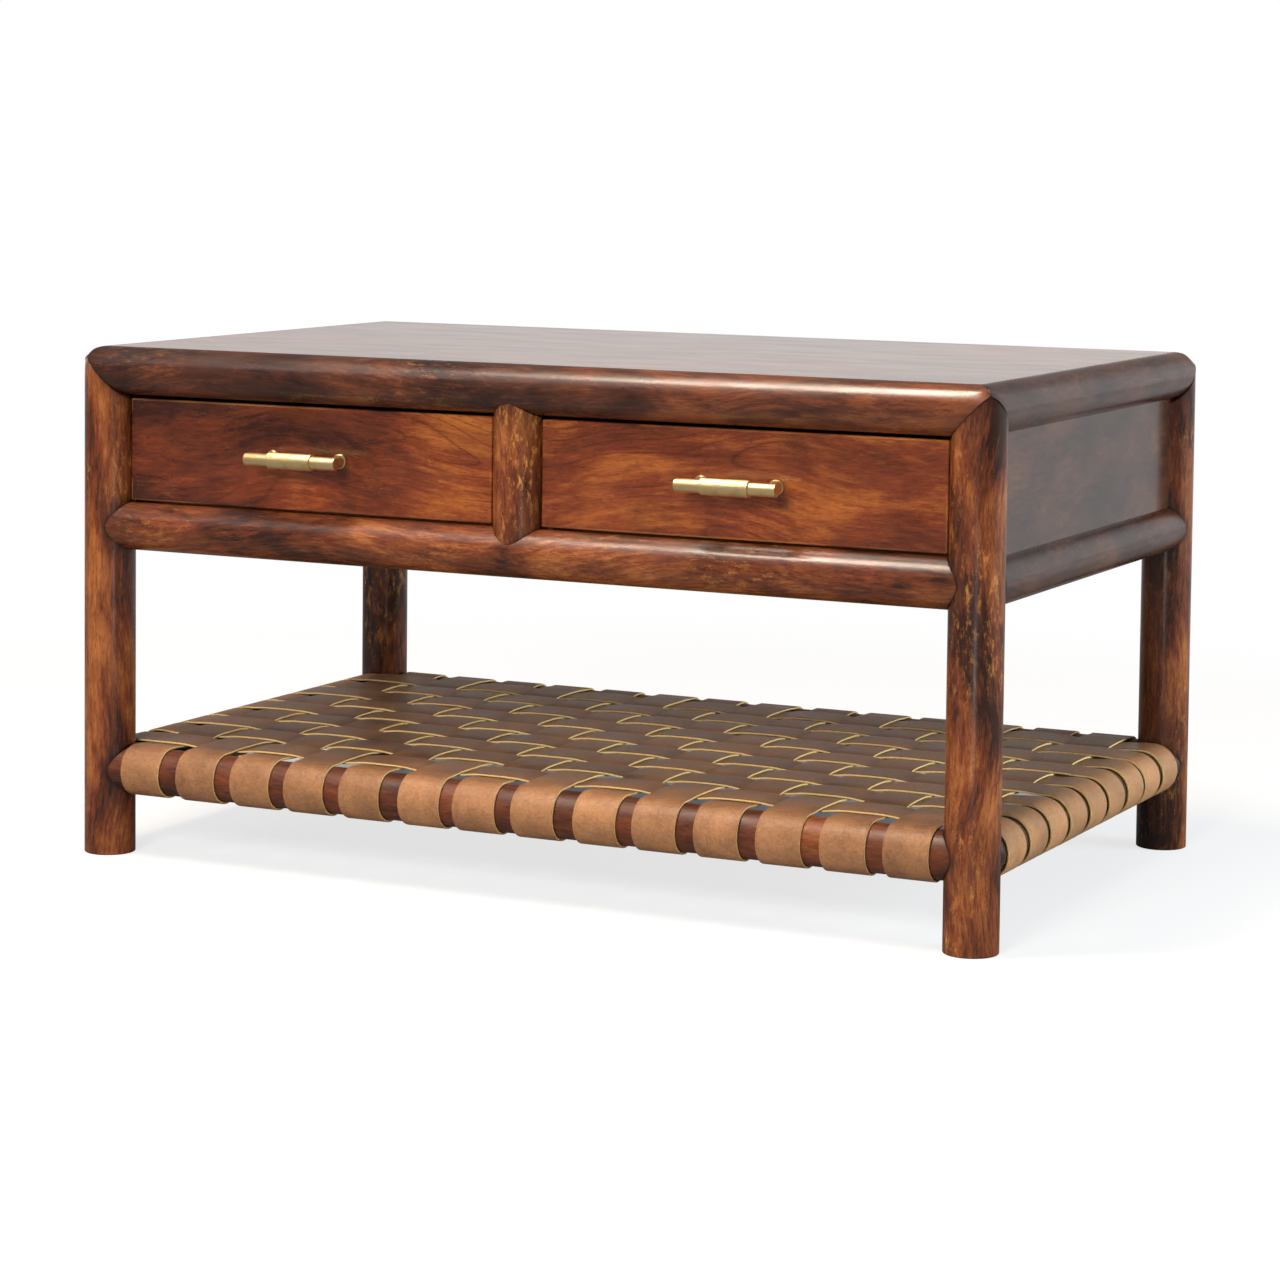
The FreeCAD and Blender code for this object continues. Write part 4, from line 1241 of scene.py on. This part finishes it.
def finish_boards(materials: dict[str, Material]) -> None:
    """Gives the flat boards and the fasteners, which are the solids themselves, their finish."""
    for node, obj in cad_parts.items():
        finish = next((BOARD_FINISHES[mark] for mark in BOARD_FINISHES if mark in node), None)
        if finish is not None:
            obj.data.materials.clear()
            obj.data.materials.append(materials[finish])
            log.info("%s: finished as %s", node, finish)


# The studio
@dataclass(frozen=True)
class Lamp:
    """A rectangular soft lamp that shines at a point, with its power in watts.

    Glints say whether glossy surfaces mirror it, and glints_only that it lights nothing else.
    """

    name: str
    place: tuple[float, float, float]
    aim: tuple[float, float, float]
    size: tuple[float, float]
    power: float
    colour: Colour = WHITE
    glints: bool = True
    glints_only: bool = False

    def build(self) -> None:
        """Hangs the lamp."""
        data = bpy.data.lights.new(self.name, "AREA")
        data.shape = "RECTANGLE"
        data.size, data.size_y = self.size
        data.energy = self.power
        data.color = self.colour
        lamp = bpy.data.objects.new(self.name, data)
        lamp.visible_glossy = self.glints
        lamp.visible_camera = lamp.visible_diffuse = not self.glints_only
        turn = (Vector(self.aim) - Vector(self.place)).to_track_quat("-Z", "Y")
        lamp.matrix_world = Matrix.Translation(self.place) @ turn.to_matrix().to_4x4()
        bpy.context.scene.collection.objects.link(lamp)


LAMPS = (
    Lamp("front_lamp", (0.4, -3.7, 1.9), (0, 0, 0.28), (1.2, 0.8), 124, glints=False),
    Lamp("left_lamp", (-2.4, -2.8, 1.2), (-0.2, 0, 0.28), (1.0, 1.4), 22, glints=False),
    Lamp("right_lamp", (3.2, 0.6, 0.7), (0.45, 0, 0.08), (2.2, 1.2), 142, (0.76, 0.9, 1.0),
         glints=False),
    Lamp("ceiling_lamp", (-0.5, -0.75, 2.6), (0, 0, 0.3), (0.45, 1.3), 84, (1.0, 0.84, 0.68)),
    Lamp("sheen_strip", (0.75, -1.25, 0.1), (0, 0, 0.1), (0.16, 0.2), 0.4, glints_only=True),
    Lamp("brass_panel", (-1.2, -1.6, 2.0), (0, -0.25, 0.37), (0.9, 0.7), 4.0, glints_only=True),
)


@dataclass
class Studio:
    """Camera, floor, lamps and the pale room around the table."""

    layout: Layout
    camera_offset: tuple[float, float, float] = (1.46147, -2.98417, 0.677582)
    camera_yaw: float = math.radians(-26.198)
    camera_pitch: float = math.radians(-3.804)
    camera_roll: float = math.radians(0.618)
    focal_pixels: float = 3575.59
    horizon_pixel: float = 363.093
    image_pixels: float = 1280.0
    sensor: float = 36.0
    floor_size: float = 14.0
    floor_lit: Colour = (0.38, 0.37, 0.36)
    floor_mirrored: Colour = (0.14, 0.14, 0.14)
    floor_seen: Colour = (0.88, 0.88, 0.88)
    # The colour of the painted shadow on the floor behind the table, a cool grey
    floor_painted_shadow: Colour = (0.34, 0.37, 0.42)
    shadow_patch_middle: float = -0.2
    shadow_patch_side: tuple[float, float] = (0.46, 0.54)
    shadow_patch_front: tuple[float, float] = (0.1, 0.2)
    shadow_patch_back: tuple[float, float] = (0.66, 0.75)
    warm: Colour = (1.0, 0.96, 0.935)
    cool: Colour = (0.93, 0.98, 1.0)

    def camera(self) -> None:
        """The camera: turned by yaw, pitch and roll, with a shift that keeps uprights upright."""
        data = bpy.data.cameras.new("photo_camera")
        data.sensor_width = self.sensor
        data.lens = self.focal_pixels * self.sensor / self.image_pixels
        data.shift_y = (self.horizon_pixel - self.image_pixels / 2) / self.image_pixels
        yaw, pitch, roll = self.camera_yaw, self.camera_pitch, self.camera_roll
        level = math.cos(pitch)
        ahead = Vector((math.sin(yaw) * level, math.cos(yaw) * level, math.sin(pitch)))
        right = ahead.cross(Vector((0, 0, 1))).normalized()
        up = right.cross(ahead)
        tilted_right = right * math.cos(roll) + up * math.sin(roll)
        tilted_up = up * math.cos(roll) - right * math.sin(roll)
        turn = Matrix((tilted_right, tilted_up, -ahead)).transposed().to_4x4()
        camera = bpy.data.objects.new("photo_camera", data)
        middle = Vector((0, (self.layout.front + self.layout.back) / 2, 0))
        camera.matrix_world = Matrix.Translation(middle + Vector(self.camera_offset)) @ turn
        bpy.context.scene.collection.objects.link(camera)
        bpy.context.scene.camera = camera

    def floor(self) -> None:
        """A pale floor that keeps the table's shadow.

        Where it is seen, it glows white, with a matte share near the table. A rectangle of it,
        under the table's back and behind it, is a painted shadow, a matte grey there, so that the
        gaps of the weave don't show white from the front. In reflections the floor is dim in front
        and paler far behind the table.
        """
        half = self.floor_size / 2
        x, y = np.meshgrid((-half, half), (-half, half))
        mesh = bpy.data.meshes.new("studio_floor")
        corners = np.stack((x, y, np.zeros_like(x)), axis=-1).reshape(-1, 3)
        mesh.from_pydata(corners.tolist(), [], [(0, 1, 3, 2)])
        material, graph = new_material("studio_floor")
        across, depth, _ = graph.split(graph.place())
        distance = ((across * across) + (depth * depth)) ** 0.5
        # The painted shadow: a grey rectangle under the table's back and behind it
        behind = depth.ease(*self.shadow_patch_front) * (1 - depth.ease(*self.shadow_patch_back))
        patch = (1 - abs(across - self.shadow_patch_middle).ease(*self.shadow_patch_side)) * behind
        seen, mirrored = graph.ray("Camera"), graph.mirrored()
        glow_seen = distance.ease(0.7, 1.8, 0.74, 1.0) * (1 - patch * 0.95)
        glow_mirrored = depth.ease(0.6, 2.0, 0.05, 0.46)
        share = (seen * glow_seen).most(mirrored * glow_mirrored)
        shade = graph.mix(mirrored, self.floor_lit, self.floor_mirrored)
        shade = graph.mix(seen, shade, self.floor_seen)
        shade = graph.mix(seen * patch * 0.85, shade, self.floor_painted_shadow)
        matte = graph.add("ShaderNodeBsdfDiffuse", sockets={"Color": shade})
        glow = graph.add("ShaderNodeEmission", sockets={"Color": WHITE, "Strength": 1.0})
        shader = graph.add("ShaderNodeMixShader", sockets={0: share, 1: matte, 2: glow})
        graph.add("ShaderNodeOutputMaterial", sockets={"Surface": shader})
        mesh.materials.append(material)
        obj = bpy.data.objects.new("studio_floor", mesh)
        bpy.context.scene.collection.objects.link(obj)

    def room(self) -> None:
        """The world: white where it is seen, soft light from above on the rest.

        Reflections show a bright wall behind the table, dimmer at both sides and in front, with a
        dark band above its foot on the left, which the rounds of the rails mirror.
        """
        world = bpy.data.worlds.new("studio_room")
        bpy.context.scene.world = world
        world.use_nodes = True
        graph = Graph(world.node_tree)
        x, y, z = graph.split(graph.add("ShaderNodeTexCoord", output="Generated"))
        seen, mirrored = graph.ray("Camera"), graph.mirrored()
        sides = x.ease(-0.6, -0.42, 0.9, 1.0) * x.ease(0.1, 0.35, 1.0, 0.63)
        band = z.ease(0.085, 0.15, 0.0, 0.75) * x.ease(0.05, 0.3, 1.0, 0.0) * y.ease(-0.1, 0.3)
        wall = y.ease(-0.1, 0.5, 0.3, 1.05) * sides * (1 - band)
        soft = z.ease(-0.2, 0.9, 0.1, 0.3)
        strength = seen + (1 - seen) * (mirrored * wall + (1 - mirrored) * soft)
        tint = graph.mix(seen, graph.mix(x.ease(0.0, 0.3), self.warm, self.cool), WHITE)
        back = graph.add("ShaderNodeBackground", sockets={"Color": tint, "Strength": strength})
        graph.add("ShaderNodeOutputWorld", sockets={"Surface": back})

    def build(self) -> None:
        """Sets up the studio."""
        bpy.context.scene.view_settings.view_transform = "Standard"
        self.camera()
        self.floor()
        self.room()
        for lamp in LAMPS:
            lamp.build()


def main() -> None:
    """Builds the table's pieces in order, and the studio around them."""
    logging.basicConfig(level=logging.INFO, format="%(name)s %(message)s")
    layout = Layout.read()
    materials = {name: finish.paint() for name, finish in WOODS.items()}
    materials["steel"] = STEEL.paint()
    brass = BRASS.paint()
    Frame(layout, materials).build()
    Shelf(layout, LEATHER.paint()).build()
    for side, left_tone in {"left": -0.4, "right": -0.1}.items():
        DrawerFront(side, materials["front"], left_tone).build()
        Handle(side, brass).build()
    finish_boards(materials)
    Studio(layout).build()


if __name__ == "__main__":
    main()
